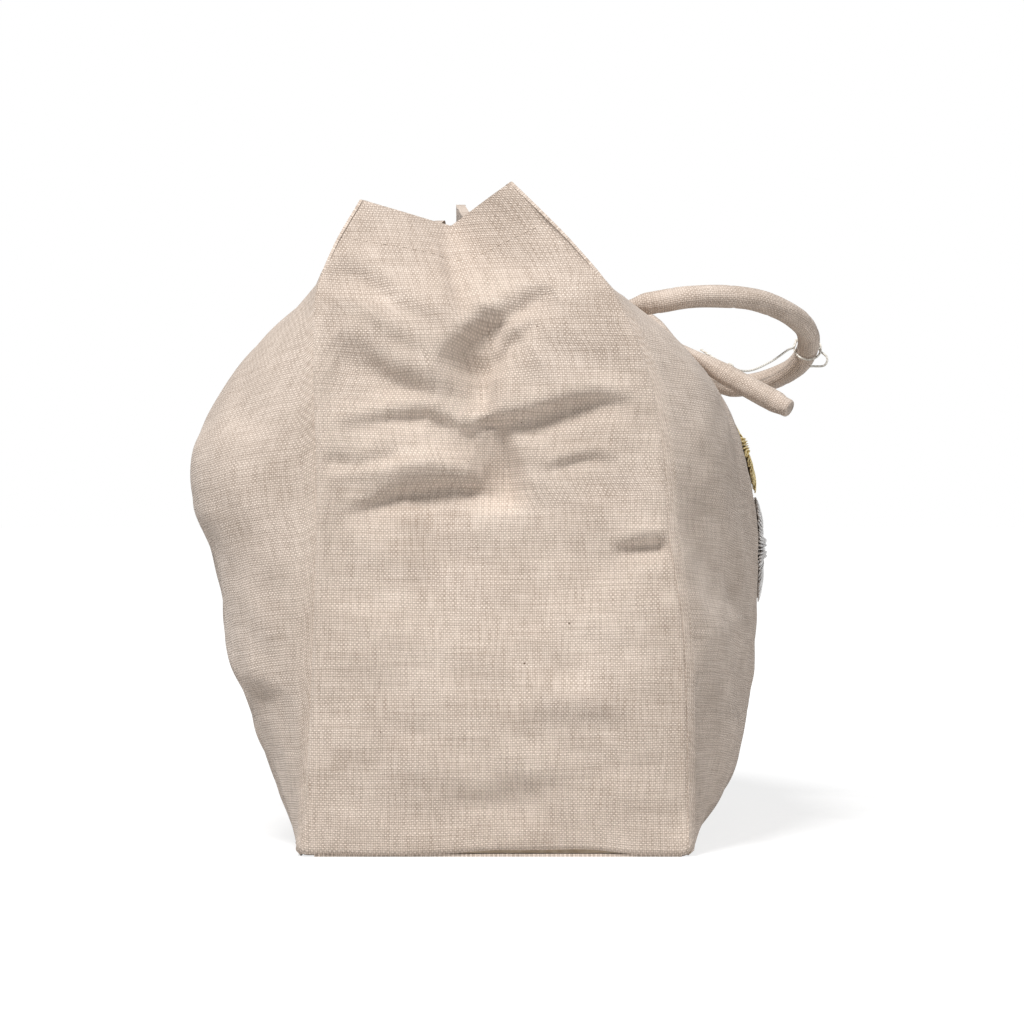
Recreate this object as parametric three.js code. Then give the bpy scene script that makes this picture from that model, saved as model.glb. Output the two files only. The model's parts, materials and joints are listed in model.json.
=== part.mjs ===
// Slouching linen handbag standing on its base, with two stuffed tube handles and a magnetic snap.
// Millimetres. +Z is up, +X is the decorated front, +Y runs along the bag, and z = 0 is the ground.

import * as THREE from 'three';

// Driving dimensions of the bag.
const BAG_LENGTH = 330;
const BASE_WIDTH = 161;
const FRONT_HEIGHT = 277;
const BACK_HEIGHT = 269;
const MOUTH_RISE = 5;
const FRONT_MOUTH_SAG = 12;
const BACK_MOUTH_SAG = 5;
const MOUTH_FRONT_CORNER = 6;
const MOUTH_BACK_CORNER = -55;
const MOUTH_SNAP_X = -22;
const MOUTH_DRAW_IN = 26;
const MOUTH_DRAW_POWER = 5;
const FRONT_FOLD_HEIGHT = 232;
const BACK_FOLD_HEIGHT = 240;
const FOLD_GAP = 0.8;

// Cloth and board.
const CLOTH = 1.2;
const LINING = 0.6;
const BOARD = 2;
const CLEARANCE = 0.3;
const SEAT_GAP = 0.8;
const BAND_SPACE = 1.7;
const SEAM_INSET = 2.2;
const SEAM_INSET_MOUTH = 6;
const BULGE_POWER = 2.4;

// Gusset: its top is folded inwards along a crease.
const CREASE_HEIGHT = 260;
const CREASE_SHIFT = -20;
const CREASE_DEPTH = 18;
const CREASE_FOOT_SHARE = 0.48;
const CREASE_ROUNDING = 0.14;
const CREASE_DEEPENING = 1.3;
const CREASE_POWER = 1.6;
const GUSSET_BELLY = 6;
const HEM_DEPTH = 18;

// Handles: a stuffed tube, flattened where it is sewn on.
const HANDLE_DIAMETER = 10;
const HANDLE_WALL = 0.9;
const HANDLE_HALF_SPACING = 60;
const HANDLE_TAPER = 18;
const FLAT_THICKNESS = 2.4;
const FLAT_WIDTH = 12.5;
const END_THICKNESS = 5;
const END_WIDTH = 12;
const END_SEWN_LENGTH = 34;
const TAIL_LENGTH = 48;
const TAIL_THICKNESS = 9.6;
const FRONT_TAIL_SPLAY = 0.28;
const BACK_TAIL_SPLAY = 0.06;
const GRIP_START = 0.6;
const FRONT_TAIL_DROP = -0.5;
const FRONT_ANCHOR_HEIGHT = 226;
const BACK_ANCHOR_HEIGHT = 224;
const TACK_WIDTH = 3;
const TACK_THICKNESS = 0.8;
const TACK_PLACES = { upper: 15, lower: 25 };

// Snap.
const SNAP_DIAMETER = 14;
const SNAP_HEIGHT = 265;
const PRESSED_MARGIN = 1;
const STUD_PLATE = 1.6;
const STUD_BOSS_DIAMETER = 4;
const STUD_BOSS = 0.9;
const SOCKET_THICKNESS = 2.6;
const SOCKET_RECESS_DIAMETER = 7.6;
const SOCKET_RECESS = 1.2;
const BACKING_DIAMETER = 12;
const BACKING_THICKNESS = 0.8;

// Slip pocket on the back lining, and the raised flowers on the front panel.
const POCKET_CLOTH = 0.8;
const FLOWER_THICKNESS = 3.4;
const FLOWERS = [
  { name: 'yellow_flower', color: 0xd8b45c, y: -30, z: 170, radius: 20, petals: 6 },
  { name: 'white_flower', color: 0xe4dedb, y: -24, z: 125, radius: 24, petals: 7 },
];
const PETAL_DEPTH = 0.26;

// Tag string: knotted beside the left tail and wound round the front handle's far end.
const STRING_DIAMETER = 1;
const KNOT_DIAMETER = 2.8;
const STRING_WIND_GAP = 0.6;
const STRING_TURNS = 1.5;
const STRING_PITCH = 2.2;
const STRING_PLACE = 0.5;
const STRING_TO_HANDLE = [[88, -69, 212.5], [94, -70, 208.5], [100.8, -70, 204.8], [107.8, -62, 203.3],
  [120.7, -35, 208.3], [130, -14, 214.5]];
const KNOT_POINT = 2;
const STRING_FROM_HANDLE = [[149.5, 5, 212], [148, 1, 208.3], [141, -3, 207.7]];

// How the outlines run. Heights are shares of the whole height or of the fold height.
const FRONT_LEAN = [[0, 0], [0.23, 0.013], [0.35, 0.04], [0.48, 0.114], [0.56, 0.134], [0.675, 0.195],
  [0.765, 0.302], [0.838, 0.45], [0.906, 0.658], [0.953, 0.825], [1, 1]];
const BACK_LEAN = [[0, 0], [0.24, 0.12], [0.39, 0.2], [0.54, 0.24], [0.665, 0.2], [0.76, 0.16],
  [0.85, 0.2], [0.926, 0.52], [1, 1]];
const FRONT_SWELL = [[0, 0], [0.07, 16.5], [0.16, 25.5], [0.28, 30.5], [0.45, 32.5], [0.6, 32],
  [0.7, 26.5], [0.79, 17.5], [0.87, 2], [0.94, -19.5], [1, -40.5]];
const BACK_SWELL = [[0, 0], [0.08, 12.5], [0.16, 20.5], [0.26, 28.5], [0.35, 33.5], [0.44, 36],
  [0.53, 37.5], [0.61, 40.5], [0.68, 39.5], [0.75, 32], [0.82, 18], [0.88, 3], [0.94, -13.5], [1, -27.5]];
const FRONT_PUFF = [[0, 0], [0.4, 0], [0.6, 2], [0.75, 8], [0.86, 13], [0.94, 13], [1, 9], [1.05, 3],
  [1.1, 0], [1.22, 0]];
const BACK_PUFF = [[0, 0], [0.05, 3], [0.16, 6.5], [0.31, 13], [0.44, 19], [0.56, 25.5], [0.62, 29],
  [0.68, 31.5], [0.74, 30], [0.8, 26], [0.88, 18.5], [0.955, 9], [1, 5.5], [1.05, 1.5],
  [1.1, 0], [1.14, 0]];
const FRONT_PUFF_POWER = 2;
const BACK_PUFF_POWER = 3;

// Rows and columns of the panel grids, as shares.
const LOWER_ROWS = [0, 0.025, 0.08, 0.17, 0.3, 0.44, 0.57, 0.67, 0.75, 0.82, 0.88, 0.94];
const BENT_ROWS = [0.28, 0.6, 1];
const PRESSED_ROWS = [0.5, 1];
const COLUMNS = [-1, -0.95, -0.84, -0.7, -0.54, -0.38, -0.22, -0.075,
  0.075, 0.22, 0.38, 0.54, 0.7, 0.84, 0.95, 1];
const LINING_COLUMN = 1;
const FACING_COLUMN = 2;
const GUSSET_ROWS = [0, 0.025, 0.12, 0.27, 0.42, 0.5, 0.58, 0.66, 0.74, 0.82, 0.88];
const GUSSET_COLUMNS = [-1, -0.9, -0.68, -0.42, -0.2, -0.07, 0.07, 0.2, 0.42, 0.68, 0.9, 1];

// Smooth curve through [share, value] points.
function curveThrough(points) {
  const last = points.length - 1;
  const slopes = points.map((point, i) => {
    const before = points[Math.max(i - 1, 0)];
    const after = points[Math.min(i + 1, last)];
    return (after[1] - before[1]) / (after[0] - before[0]);
  });
  return (t) => {
    const at = THREE.MathUtils.clamp(t, points[0][0], points[last][0]);
    const next = points.findIndex((point, i) => i > 0 && point[0] >= at);
    const span = points[next][0] - points[next - 1][0];
    const u = (at - points[next - 1][0]) / span;
    const rise = points[next][1] - points[next - 1][1];
    const bend = (1 - u) * (slopes[next - 1] * span - rise) + u * (rise - slopes[next] * span);
    return points[next - 1][1] + u * rise + u * (1 - u) * bend;
  };
}

// Closed mouth, from the layers that meet at the snap.
const SIDE_STACK = 2 * CLOTH + BAND_SPACE + CLEARANCE;
const MOUTH_STACK = 2 * SIDE_STACK + STUD_PLATE + CLEARANCE + SOCKET_THICKNESS;
const PRESSED_HEIGHT = SNAP_HEIGHT - SNAP_DIAMETER / 2 - PRESSED_MARGIN;

const FRONT = {
  name: 'front',
  sign: 1,
  height: FRONT_HEIGHT,
  fold: FRONT_FOLD_HEIGHT,
  corner: MOUTH_FRONT_CORNER,
  sag: FRONT_MOUTH_SAG,
  closed: MOUTH_SNAP_X + MOUTH_STACK / 2,
  lean: curveThrough(FRONT_LEAN),
  swell: curveThrough(FRONT_SWELL),
  puff: curveThrough(FRONT_PUFF),
  puffPower: FRONT_PUFF_POWER,
};
const BACK = {
  name: 'back',
  sign: -1,
  height: BACK_HEIGHT,
  fold: BACK_FOLD_HEIGHT,
  corner: -MOUTH_BACK_CORNER,
  sag: BACK_MOUTH_SAG,
  closed: MOUTH_STACK / 2 - MOUTH_SNAP_X,
  lean: curveThrough(BACK_LEAN),
  swell: curveThrough(BACK_SWELL),
  puff: curveThrough(BACK_PUFF),
  puffPower: BACK_PUFF_POWER,
};

// Outline of the bag: how far a side stands out from the middle plane, and half the length.
const halfLength = (share) => BAG_LENGTH / 2 - MOUTH_DRAW_IN * share ** MOUTH_DRAW_POWER;

function seamOut(side, z) {
  const lean = side.lean(z / side.height);
  return THREE.MathUtils.lerp(BASE_WIDTH / 2, side.corner, lean);
}

function middleOut(side, z) {
  if (z <= side.fold) return BASE_WIDTH / 2 + side.swell(z / side.fold);
  const t = Math.min(1, (z - side.fold) / (PRESSED_HEIGHT - side.fold));
  const ease = 1 - (1 - t) ** 2;
  return THREE.MathUtils.lerp(BASE_WIDTH / 2 + side.swell(1), side.closed, ease);
}

// Mouth edge: highest at the snap, sagging between the snap and the corners.
const SAG_SCALE = 27 / 4;

function mouthEdge(side, v) {
  const rest = 1 - v * v;
  return side.height + MOUTH_RISE * rest - side.sag * SAG_SCALE * v * v * rest * rest;
}

// Puff beside the seam: nothing at the middle and at the seam, and 1 where it is fullest.
function puffShare(power, v) {
  const fullest = (power / (power + 2)) ** (power / 2) * (2 / (power + 2));
  return (v ** power * (1 - v * v)) / fullest;
}

function sideOut(side, y, z) {
  const v = Math.min(1, Math.abs(y) / halfLength(z / side.height));
  const seam = seamOut(side, z);
  const middle = middleOut(side, z);
  const puff = side.puff(z / side.fold) * puffShare(side.puffPower, v);
  return middle + (seam - middle) * v ** BULGE_POWER + puff;
}

function sidePoint(side, y, z) {
  return new THREE.Vector3(side.sign * sideOut(side, y, z), y, z);
}

function sideNormal(side, y, z) {
  const step = 1;
  const along = sidePoint(side, y + step, z).sub(sidePoint(side, y - step, z));
  const up = sidePoint(side, y, z + step).sub(sidePoint(side, y, z - step));
  return along.cross(up).multiplyScalar(side.sign).normalize();
}

// Grids of points with outward normals, as rows from the bottom to the top.
function withNormals(points, outward) {
  const normals = points.map((row, i) => row.map((point, j) => {
    const below = points[Math.max(i - 1, 0)][j];
    const above = points[Math.min(i + 1, points.length - 1)][j];
    const before = row[Math.max(j - 1, 0)];
    const after = row[Math.min(j + 1, row.length - 1)];
    const normal = after.clone().sub(before).cross(above.clone().sub(below));
    if (i === 0) normal.z = 0;
    return normal.normalize().multiplyScalar(Math.sign(normal.dot(outward)));
  }));
  return { points, normals };
}

function sideGrid(side) {
  const lower = LOWER_ROWS.map((share) => share * (side.fold - FOLD_GAP / 2));
  const rows = lower.map((z) => () => z);
  rows.push(() => side.fold - FOLD_GAP / 2, () => side.fold + FOLD_GAP / 2);
  for (const share of BENT_ROWS) {
    rows.push(() => THREE.MathUtils.lerp(side.fold, PRESSED_HEIGHT, share));
  }
  for (const share of PRESSED_ROWS) {
    rows.push((v) => THREE.MathUtils.lerp(PRESSED_HEIGHT, mouthEdge(side, v), share));
  }
  const points = rows.map((heightAt) => COLUMNS.map((v) => {
    const z = heightAt(v);
    return sidePoint(side, v * halfLength(Math.min(1, z / side.height)), z);
  }));
  return withNormals(points, new THREE.Vector3(side.sign, 0, 0.5));
}

function gussetPoint(end, u, share) {
  const side = u < 0 ? BACK : FRONT;
  const t = Math.max(0, (share - CREASE_FOOT_SHARE) / (1 - CREASE_FOOT_SHARE));
  const inset = THREE.MathUtils.lerp(SEAM_INSET, SEAM_INSET_MOUTH, t);
  const edge = side.sign * (seamOut(side, share * side.height) - inset);
  const crease = CREASE_SHIFT * t * t;
  const across = Math.abs(u);
  const round = Math.hypot(across, CREASE_ROUNDING) - CREASE_ROUNDING;
  const fold = 1 - round / (Math.hypot(1, CREASE_ROUNDING) - CREASE_ROUNDING);
  const belly = GUSSET_BELLY * (1 - u * u) * Math.sin(Math.PI * Math.min(1, share / CREASE_FOOT_SHARE)) ** 2;
  const x = THREE.MathUtils.lerp(crease, edge, across);
  const y = end * (halfLength(share) - CREASE_DEPTH * t ** CREASE_DEEPENING * fold ** CREASE_POWER + belly);
  return new THREE.Vector3(x, y, share * THREE.MathUtils.lerp(CREASE_HEIGHT, side.height, across));
}

function gussetGrid(end) {
  const hem = 1 - HEM_DEPTH / CREASE_HEIGHT;
  const rows = [...GUSSET_ROWS, hem - FOLD_GAP / CREASE_HEIGHT, hem, 1];
  const points = rows.map((share) => GUSSET_COLUMNS.map((u) => gussetPoint(end, u, share)));
  return withNormals(points, new THREE.Vector3(0, end, 0));
}

// Closed geometry from shared vertices, with its faces turned outwards.
function closedGeometry(vertices, triangles) {
  let volume = 0;
  for (const [a, b, c] of triangles) {
    volume += vertices[a].dot(new THREE.Vector3().crossVectors(vertices[b], vertices[c]));
  }
  const outward = volume > 0 ? triangles : triangles.map(([a, b, c]) => [a, c, b]);
  const geometry = new THREE.BufferGeometry().setFromPoints(vertices);
  geometry.setIndex(outward.flat());
  geometry.computeVertexNormals();
  return geometry;
}

function quad(triangles, a, b, c, d) {
  triangles.push([a, b, c], [a, c, d]);
}

// Sheet between two matching grids of points, closed by a rim.
function slabGeometry(outer, inner) {
  const rows = outer.length;
  const columns = outer[0].length;
  const count = rows * columns;
  const at = (i, j) => i * columns + j;
  const triangles = [];
  for (let i = 0; i < rows - 1; i += 1) {
    for (let j = 0; j < columns - 1; j += 1) {
      const corners = [at(i, j), at(i, j + 1), at(i + 1, j + 1), at(i + 1, j)];
      quad(triangles, ...corners);
      quad(triangles, corners[0] + count, corners[3] + count, corners[2] + count, corners[1] + count);
    }
  }
  const rim = [];
  for (let j = 0; j < columns - 1; j += 1) rim.push(at(0, j));
  for (let i = 0; i < rows - 1; i += 1) rim.push(at(i, columns - 1));
  for (let j = columns - 1; j > 0; j -= 1) rim.push(at(rows - 1, j));
  for (let i = rows - 1; i > 0; i -= 1) rim.push(at(i, 0));
  rim.forEach((a, k) => {
    const b = rim[(k + 1) % rim.length];
    quad(triangles, b, a, a + count, b + count);
  });
  return closedGeometry([...outer.flat(), ...inner.flat()], triangles);
}

// One layer of cloth: part of a grid, between two depths under its outer face.
function layer(grid, rows, columns, depth, thickness) {
  const face = (under) => grid.points.slice(rows[0], rows[1] + 1).map((row, i) => (
    row.slice(columns[0], columns[1] + 1).map((point, j) => {
      const normal = grid.normals[rows[0] + i][columns[0] + j];
      return point.clone().addScaledVector(normal, -under);
    })
  ));
  return slabGeometry(face(depth), face(depth + thickness));
}

// Frames along a path: the width direction starts and ends along Y.
function framesAlong(path) {
  const tangents = path.map((point, i) => {
    const before = path[Math.max(i - 1, 0)];
    const after = path[Math.min(i + 1, path.length - 1)];
    return after.clone().sub(before).normalize();
  });
  const square = (vector, tangent) => (
    vector.clone().addScaledVector(tangent, -vector.dot(tangent)).normalize()
  );
  const along = new THREE.Vector3(0, 1, 0);
  let width = square(along, tangents[0]);
  const widths = tangents.map((tangent) => {
    width = square(width, tangent);
    return width.clone();
  });
  const end = tangents[tangents.length - 1];
  const wanted = square(along, end);
  const half = Math.PI / 2;
  let twist = Math.atan2(widths[widths.length - 1].clone().cross(wanted).dot(end), width.dot(wanted));
  if (twist > half) twist -= Math.PI;
  if (twist < -half) twist += Math.PI;
  return tangents.map((tangent, i) => {
    const turned = widths[i].applyAxisAngle(tangent, (twist * i) / (tangents.length - 1));
    return { width: turned, rise: new THREE.Vector3().crossVectors(tangent, turned) };
  });
}

// Oval rings round a path. The size function gives each point's width and thickness.
const TUBE_SIDES = 10;
const STRING_SIDES = 6;

function ringsAlong(path, frames, sizeAt, sides = TUBE_SIDES) {
  return path.map((point, i) => {
    const [width, thickness] = sizeAt(i);
    return Array.from({ length: sides }, (_, k) => {
      const angle = (2 * Math.PI * k) / sides;
      return point.clone()
        .addScaledVector(frames[i].width, (width / 2) * Math.cos(angle))
        .addScaledVector(frames[i].rise, (thickness / 2) * Math.sin(angle));
    });
  });
}

function wallTriangles(triangles, start, rings) {
  const sides = rings[0].length;
  for (let i = 0; i < rings.length - 1; i += 1) {
    for (let k = 0; k < sides; k += 1) {
      const a = start + i * sides + k;
      const b = start + i * sides + ((k + 1) % sides);
      quad(triangles, a, b, b + sides, a + sides);
    }
  }
}

function rodGeometry(rings) {
  const sides = rings[0].length;
  const triangles = [];
  wallTriangles(triangles, 0, rings);
  const top = (rings.length - 1) * sides;
  for (let k = 1; k < sides - 1; k += 1) {
    triangles.push([0, k + 1, k], [top, top + k, top + k + 1]);
  }
  return closedGeometry(rings.flat(), triangles);
}

function pipeGeometry(outer, inner) {
  const count = outer.length * TUBE_SIDES;
  const triangles = [];
  wallTriangles(triangles, 0, outer);
  const bore = [];
  wallTriangles(bore, count, inner);
  for (const [a, b, c] of bore) triangles.push([a, c, b]);
  const top = count - TUBE_SIDES;
  for (let k = 0; k < TUBE_SIDES; k += 1) {
    const next = (k + 1) % TUBE_SIDES;
    quad(triangles, next, k, k + count, next + count);
    quad(triangles, top + k, top + next, top + next + count, top + k + count);
  }
  return closedGeometry([...outer.flat(), ...inner.flat()], triangles);
}

const bag = new THREE.Group();

function addPart(name, geometry, color, roughness, metalness = 0) {
  const material = new THREE.MeshStandardMaterial({ color, roughness, metalness });
  const mesh = new THREE.Mesh(geometry, material);
  mesh.name = name;
  bag.add(mesh);
  return mesh;
}

const LINEN = 0xd2c2b5;
const LINING_COLOR = 0xe3dbd0;
const BOARD_COLOR = 0xb7a58c;
const CORD_COLOR = 0xe6e0d4;
const METAL_COLOR = 0x9b9a94;
const CLOTH_ROUGHNESS = 0.95;
const METAL_ROUGHNESS = 0.35;

// Front and back: panel up to the fold, mouth band above it, lining and facing inside.
const LOWER_TOP = LOWER_ROWS.length;
const BAND_TOP = LOWER_TOP + 1 + BENT_ROWS.length + PRESSED_ROWS.length;
const LAST_COLUMN = COLUMNS.length - 1;

function addSide(side) {
  const grid = sideGrid(side);
  const all = [0, LAST_COLUMN];
  const inset = (columns) => [columns, LAST_COLUMN - columns];
  const band = [LOWER_TOP + 1, BAND_TOP];
  const panel = layer(grid, [0, LOWER_TOP], all, 0, CLOTH);
  const bandCloth = layer(grid, band, all, 0, CLOTH);
  const lining = layer(grid, [1, LOWER_TOP], inset(LINING_COLUMN), CLOTH + CLEARANCE, LINING);
  const facing = layer(grid, band, inset(FACING_COLUMN), CLOTH + BAND_SPACE, CLOTH);
  addPart(`${side.name}_panel`, panel, LINEN, CLOTH_ROUGHNESS);
  addPart(`${side.name}_mouth_band`, bandCloth, LINEN, CLOTH_ROUGHNESS);
  addPart(`${side.name}_lining`, lining, LINING_COLOR, CLOTH_ROUGHNESS);
  addPart(`${side.name}_facing`, facing, LINEN, CLOTH_ROUGHNESS);
  return grid;
}

addSide(FRONT);
const backGrid = addSide(BACK);

// Slip pocket, sewn flat on the back lining.
const POCKET_ROWS = [4, 6];
const POCKET_COLUMNS = [4, LAST_COLUMN - 4];
const POCKET_DEPTH = CLOTH + LINING + 2 * CLEARANCE;
const pocket = layer(backGrid, POCKET_ROWS, POCKET_COLUMNS, POCKET_DEPTH, POCKET_CLOTH);
addPart('slip_pocket', pocket, LINING_COLOR, CLOTH_ROUGHNESS);

// Gussets: outer cloth, lining up to the hem, and the hem turned inside the mouth.
function addGusset(end, name) {
  const grid = gussetGrid(end);
  const lastRow = grid.points.length - 1;
  const lastColumn = GUSSET_COLUMNS.length - 1;
  const inset = [1, lastColumn - 1];
  const inside = CLOTH + CLEARANCE;
  const cloth = layer(grid, [0, lastRow], [0, lastColumn], 0, CLOTH);
  const lining = layer(grid, [1, lastRow - 2], inset, inside, LINING);
  const hem = layer(grid, [lastRow - 1, lastRow], inset, inside, CLOTH);
  addPart(`${name}_gusset`, cloth, LINEN, CLOTH_ROUGHNESS);
  addPart(`${name}_gusset_lining`, lining, LINING_COLOR, CLOTH_ROUGHNESS);
  addPart(`${name}_gusset_hem`, hem, LINEN, CLOTH_ROUGHNESS);
}

addGusset(-1, 'left');
addGusset(1, 'right');

// Base: cloth on the ground, a board on it and the lining over the board.
function addBase() {
  const inside = CLOTH + CLEARANCE;
  const width = BASE_WIDTH - 2 * inside;
  const length = BAG_LENGTH - 2 * inside;
  const plate = (name, bottom, thickness, color) => {
    const geometry = new THREE.BoxGeometry(width, length, thickness);
    const part = addPart(name, geometry, color, CLOTH_ROUGHNESS);
    part.position.z = bottom + thickness / 2;
    return bottom + thickness + CLEARANCE;
  };
  const boardBottom = plate('base_panel', 0, CLOTH, LINEN);
  const liningBottom = plate('base_board', boardBottom, BOARD, BOARD_COLOR);
  plate('base_lining', liningBottom, LINING, LINING_COLOR);
}

addBase();

// Snap: stud on the front facing, socket on the back facing, a backing plate behind each.
const SNAP_SIDES = 24;

function addTurned(name, profile, x, direction) {
  const geometry = new THREE.LatheGeometry(profile.map(([r, h]) => new THREE.Vector2(r, h)), SNAP_SIDES);
  const part = addPart(name, geometry, METAL_COLOR, METAL_ROUGHNESS, 1);
  part.rotation.z = -direction * Math.PI / 2;
  part.position.set(x, 0, SNAP_HEIGHT);
}

function disc(diameter, thickness) {
  return [[0, 0], [diameter / 2, 0], [diameter / 2, thickness], [0, thickness]];
}

function addSnap() {
  const frontFace = FRONT.closed - SIDE_STACK;
  const backFace = -BACK.closed + SIDE_STACK;
  const bossRadius = STUD_BOSS_DIAMETER / 2;
  const recessRadius = SOCKET_RECESS_DIAMETER / 2;
  const stud = [[0, 0], [SNAP_DIAMETER / 2, 0], [SNAP_DIAMETER / 2, STUD_PLATE], [bossRadius, STUD_PLATE],
    [bossRadius, STUD_PLATE + STUD_BOSS], [0, STUD_PLATE + STUD_BOSS]];
  const floor = SOCKET_THICKNESS - SOCKET_RECESS;
  const socket = [[0, 0], [SNAP_DIAMETER / 2, 0], [SNAP_DIAMETER / 2, SOCKET_THICKNESS],
    [recessRadius, SOCKET_THICKNESS], [recessRadius, floor], [0, floor]];
  addTurned('snap_stud', stud, frontFace, -1);
  addTurned('snap_socket', socket, backFace, 1);
  const backing = disc(BACKING_DIAMETER, BACKING_THICKNESS);
  addTurned('stud_backing_plate', backing, FRONT.closed - CLOTH - CLEARANCE, -1);
  addTurned('socket_backing_plate', backing, -BACK.closed + CLOTH + CLEARANCE, 1);
}

addSnap();

// Handles. Each end is sewn along the panel's shoulder with a free tail, and folds over at its top.
function anchorPoint(side, y, z, standoff) {
  return sidePoint(side, y, z).addScaledVector(sideNormal(side, y, z), standoff);
}

const SEWN_STEPS = 5;
const TAIL_STEPS = 6;

// Width and thickness of an end at a step: flat where it is sewn, fuller along its tail.
function endSize(step) {
  const tail = THREE.MathUtils.smoothstep(step, SEWN_STEPS, SEWN_STEPS + TAIL_STEPS / 2);
  const width = THREE.MathUtils.lerp(END_WIDTH, HANDLE_DIAMETER, tail);
  return [width, THREE.MathUtils.lerp(END_THICKNESS, TAIL_THICKNESS, tail)];
}

// Centre line of an end that lies on the panel, down from its anchor.
function pathDown(side, end, anchorHeight, splay, steps) {
  const path = [];
  let z = anchorHeight;
  let y = end * HANDLE_HALF_SPACING;
  for (let i = 0; i <= steps; i += 1) {
    const [, thickness] = endSize(i);
    path.push(anchorPoint(side, y, z, thickness / 2 + SEAT_GAP));
    const normal = sideNormal(side, y, z);
    const stride = i < SEWN_STEPS ? END_SEWN_LENGTH / SEWN_STEPS : TAIL_LENGTH / TAIL_STEPS;
    z -= stride * Math.hypot(normal.x, normal.y) * Math.cos(splay);
    y += end * stride * Math.sin(splay);
  }
  return path;
}

// The left tail at the front stands out from the panel, and the other tails lie on it.
function standingEndPath() {
  const end = -1;
  const path = pathDown(FRONT, end, FRONT_ANCHOR_HEIGHT, FRONT_TAIL_SPLAY, SEWN_STEPS);
  const root = path[SEWN_STEPS];
  const start = root.clone().sub(path[SEWN_STEPS - 1]).normalize();
  const aside = end * Math.sin(FRONT_TAIL_SPLAY);
  const finish = new THREE.Vector3(Math.cos(FRONT_TAIL_DROP), aside, Math.sin(FRONT_TAIL_DROP));
  const reach = root.clone();
  for (let i = 1; i <= TAIL_STEPS; i += 1) {
    const heading = start.clone().lerp(finish, i / TAIL_STEPS).normalize();
    reach.addScaledVector(heading, TAIL_LENGTH / TAIL_STEPS);
    path.push(reach.clone());
  }
  return path;
}

function lyingEndPath(side, end, anchorHeight, splay) {
  return pathDown(side, end, anchorHeight, splay, SEWN_STEPS + TAIL_STEPS);
}

function addEnd(path, name) {
  const frames = framesAlong(path);
  addPart(`${name}_end`, rodGeometry(ringsAlong(path, frames, endSize)), LINEN, CLOTH_ROUGHNESS);
  for (const [place, distance] of Object.entries(TACK_PLACES)) {
    addPart(`${name}_tack_${place}`, tackGeometry(path, frames, distance), LINEN, CLOTH_ROUGHNESS);
  }
}

// Thread tack: a narrow strap of stitches over a sewn end.
const TACK_STEPS = 8;

function tackGeometry(path, frames, distance) {
  const curve = new THREE.CatmullRomCurve3(path);
  const at = distance / curve.getLength();
  const half = TACK_WIDTH / 2 / curve.getLength();
  const near = Math.round(at * (path.length - 1));
  const face = (lift) => [at - half, at + half].map((share) => {
    const centre = curve.getPointAt(share);
    return Array.from({ length: TACK_STEPS + 1 }, (_, k) => {
      const angle = (Math.PI * k) / TACK_STEPS;
      const sign = Math.sign(frames[near].rise.z);
      return centre.clone()
        .addScaledVector(frames[near].width, (END_WIDTH / 2 + lift) * Math.cos(angle))
        .addScaledVector(frames[near].rise, sign * (END_THICKNESS / 2 + lift) * Math.sin(angle));
    });
  });
  const gap = 2 * CLEARANCE;
  return slabGeometry(face(gap + TACK_THICKNESS), face(gap));
}

// Stuffed tube between the two ends: a cover flattened at both folds, and the cord core inside it.
const GRIP_STEPS = 30;

function addGrip(points, name) {
  const curve = new THREE.CatmullRomCurve3(points, false, 'centripetal');
  const path = curve.getSpacedPoints(GRIP_STEPS);
  const frames = framesAlong(path);
  const length = curve.getLength();
  const roundness = (i) => {
    const distance = (Math.min(i, GRIP_STEPS - i) * length) / GRIP_STEPS;
    return THREE.MathUtils.smoothstep(distance, 0, HANDLE_TAPER);
  };
  const coverSize = (wall) => (i) => [
    THREE.MathUtils.lerp(FLAT_WIDTH, HANDLE_DIAMETER, roundness(i)) - 2 * wall,
    THREE.MathUtils.lerp(FLAT_THICKNESS, HANDLE_DIAMETER, roundness(i)) - 2 * wall,
  ];
  const outer = ringsAlong(path, frames, coverSize(0));
  const inner = ringsAlong(path, frames, coverSize(HANDLE_WALL));
  addPart(`${name}_cover`, pipeGeometry(outer, inner), LINEN, CLOTH_ROUGHNESS);
  const first = Math.ceil((HANDLE_TAPER * GRIP_STEPS) / length);
  const coreDiameter = HANDLE_DIAMETER - 2 * HANDLE_WALL - 2 * CLEARANCE;
  const rings = ringsAlong(path, frames, () => [coreDiameter, coreDiameter]);
  const core = rodGeometry(rings.slice(first, GRIP_STEPS + 1 - first));
  addPart(`${name}_core`, core, CORD_COLOR, CLOTH_ROUGHNESS);
  return curve;
}

// String: a route with a knot, turns round the grip's tube and a loose end.
const STRING_STEPS = 100;
const WINDING_STEPS = 12;

function windingPoints(grip) {
  const centre = grip.getPointAt(STRING_PLACE);
  const along = grip.getTangentAt(STRING_PLACE);
  const out = new THREE.Vector3(1, 0, 0).addScaledVector(along, -along.x).normalize();
  const up = new THREE.Vector3().crossVectors(out, along);
  const radius = (HANDLE_DIAMETER + STRING_DIAMETER) / 2 + STRING_WIND_GAP;
  const steps = WINDING_STEPS * STRING_TURNS;
  return Array.from({ length: steps + 1 }, (_, k) => {
    const share = k / steps;
    const angle = Math.PI * (1 - 2 * STRING_TURNS * share);
    return centre.clone()
      .addScaledVector(out, radius * Math.cos(angle))
      .addScaledVector(up, radius * Math.sin(angle))
      .addScaledVector(along, STRING_PITCH * STRING_TURNS * (share - 0.5));
  });
}

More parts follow.
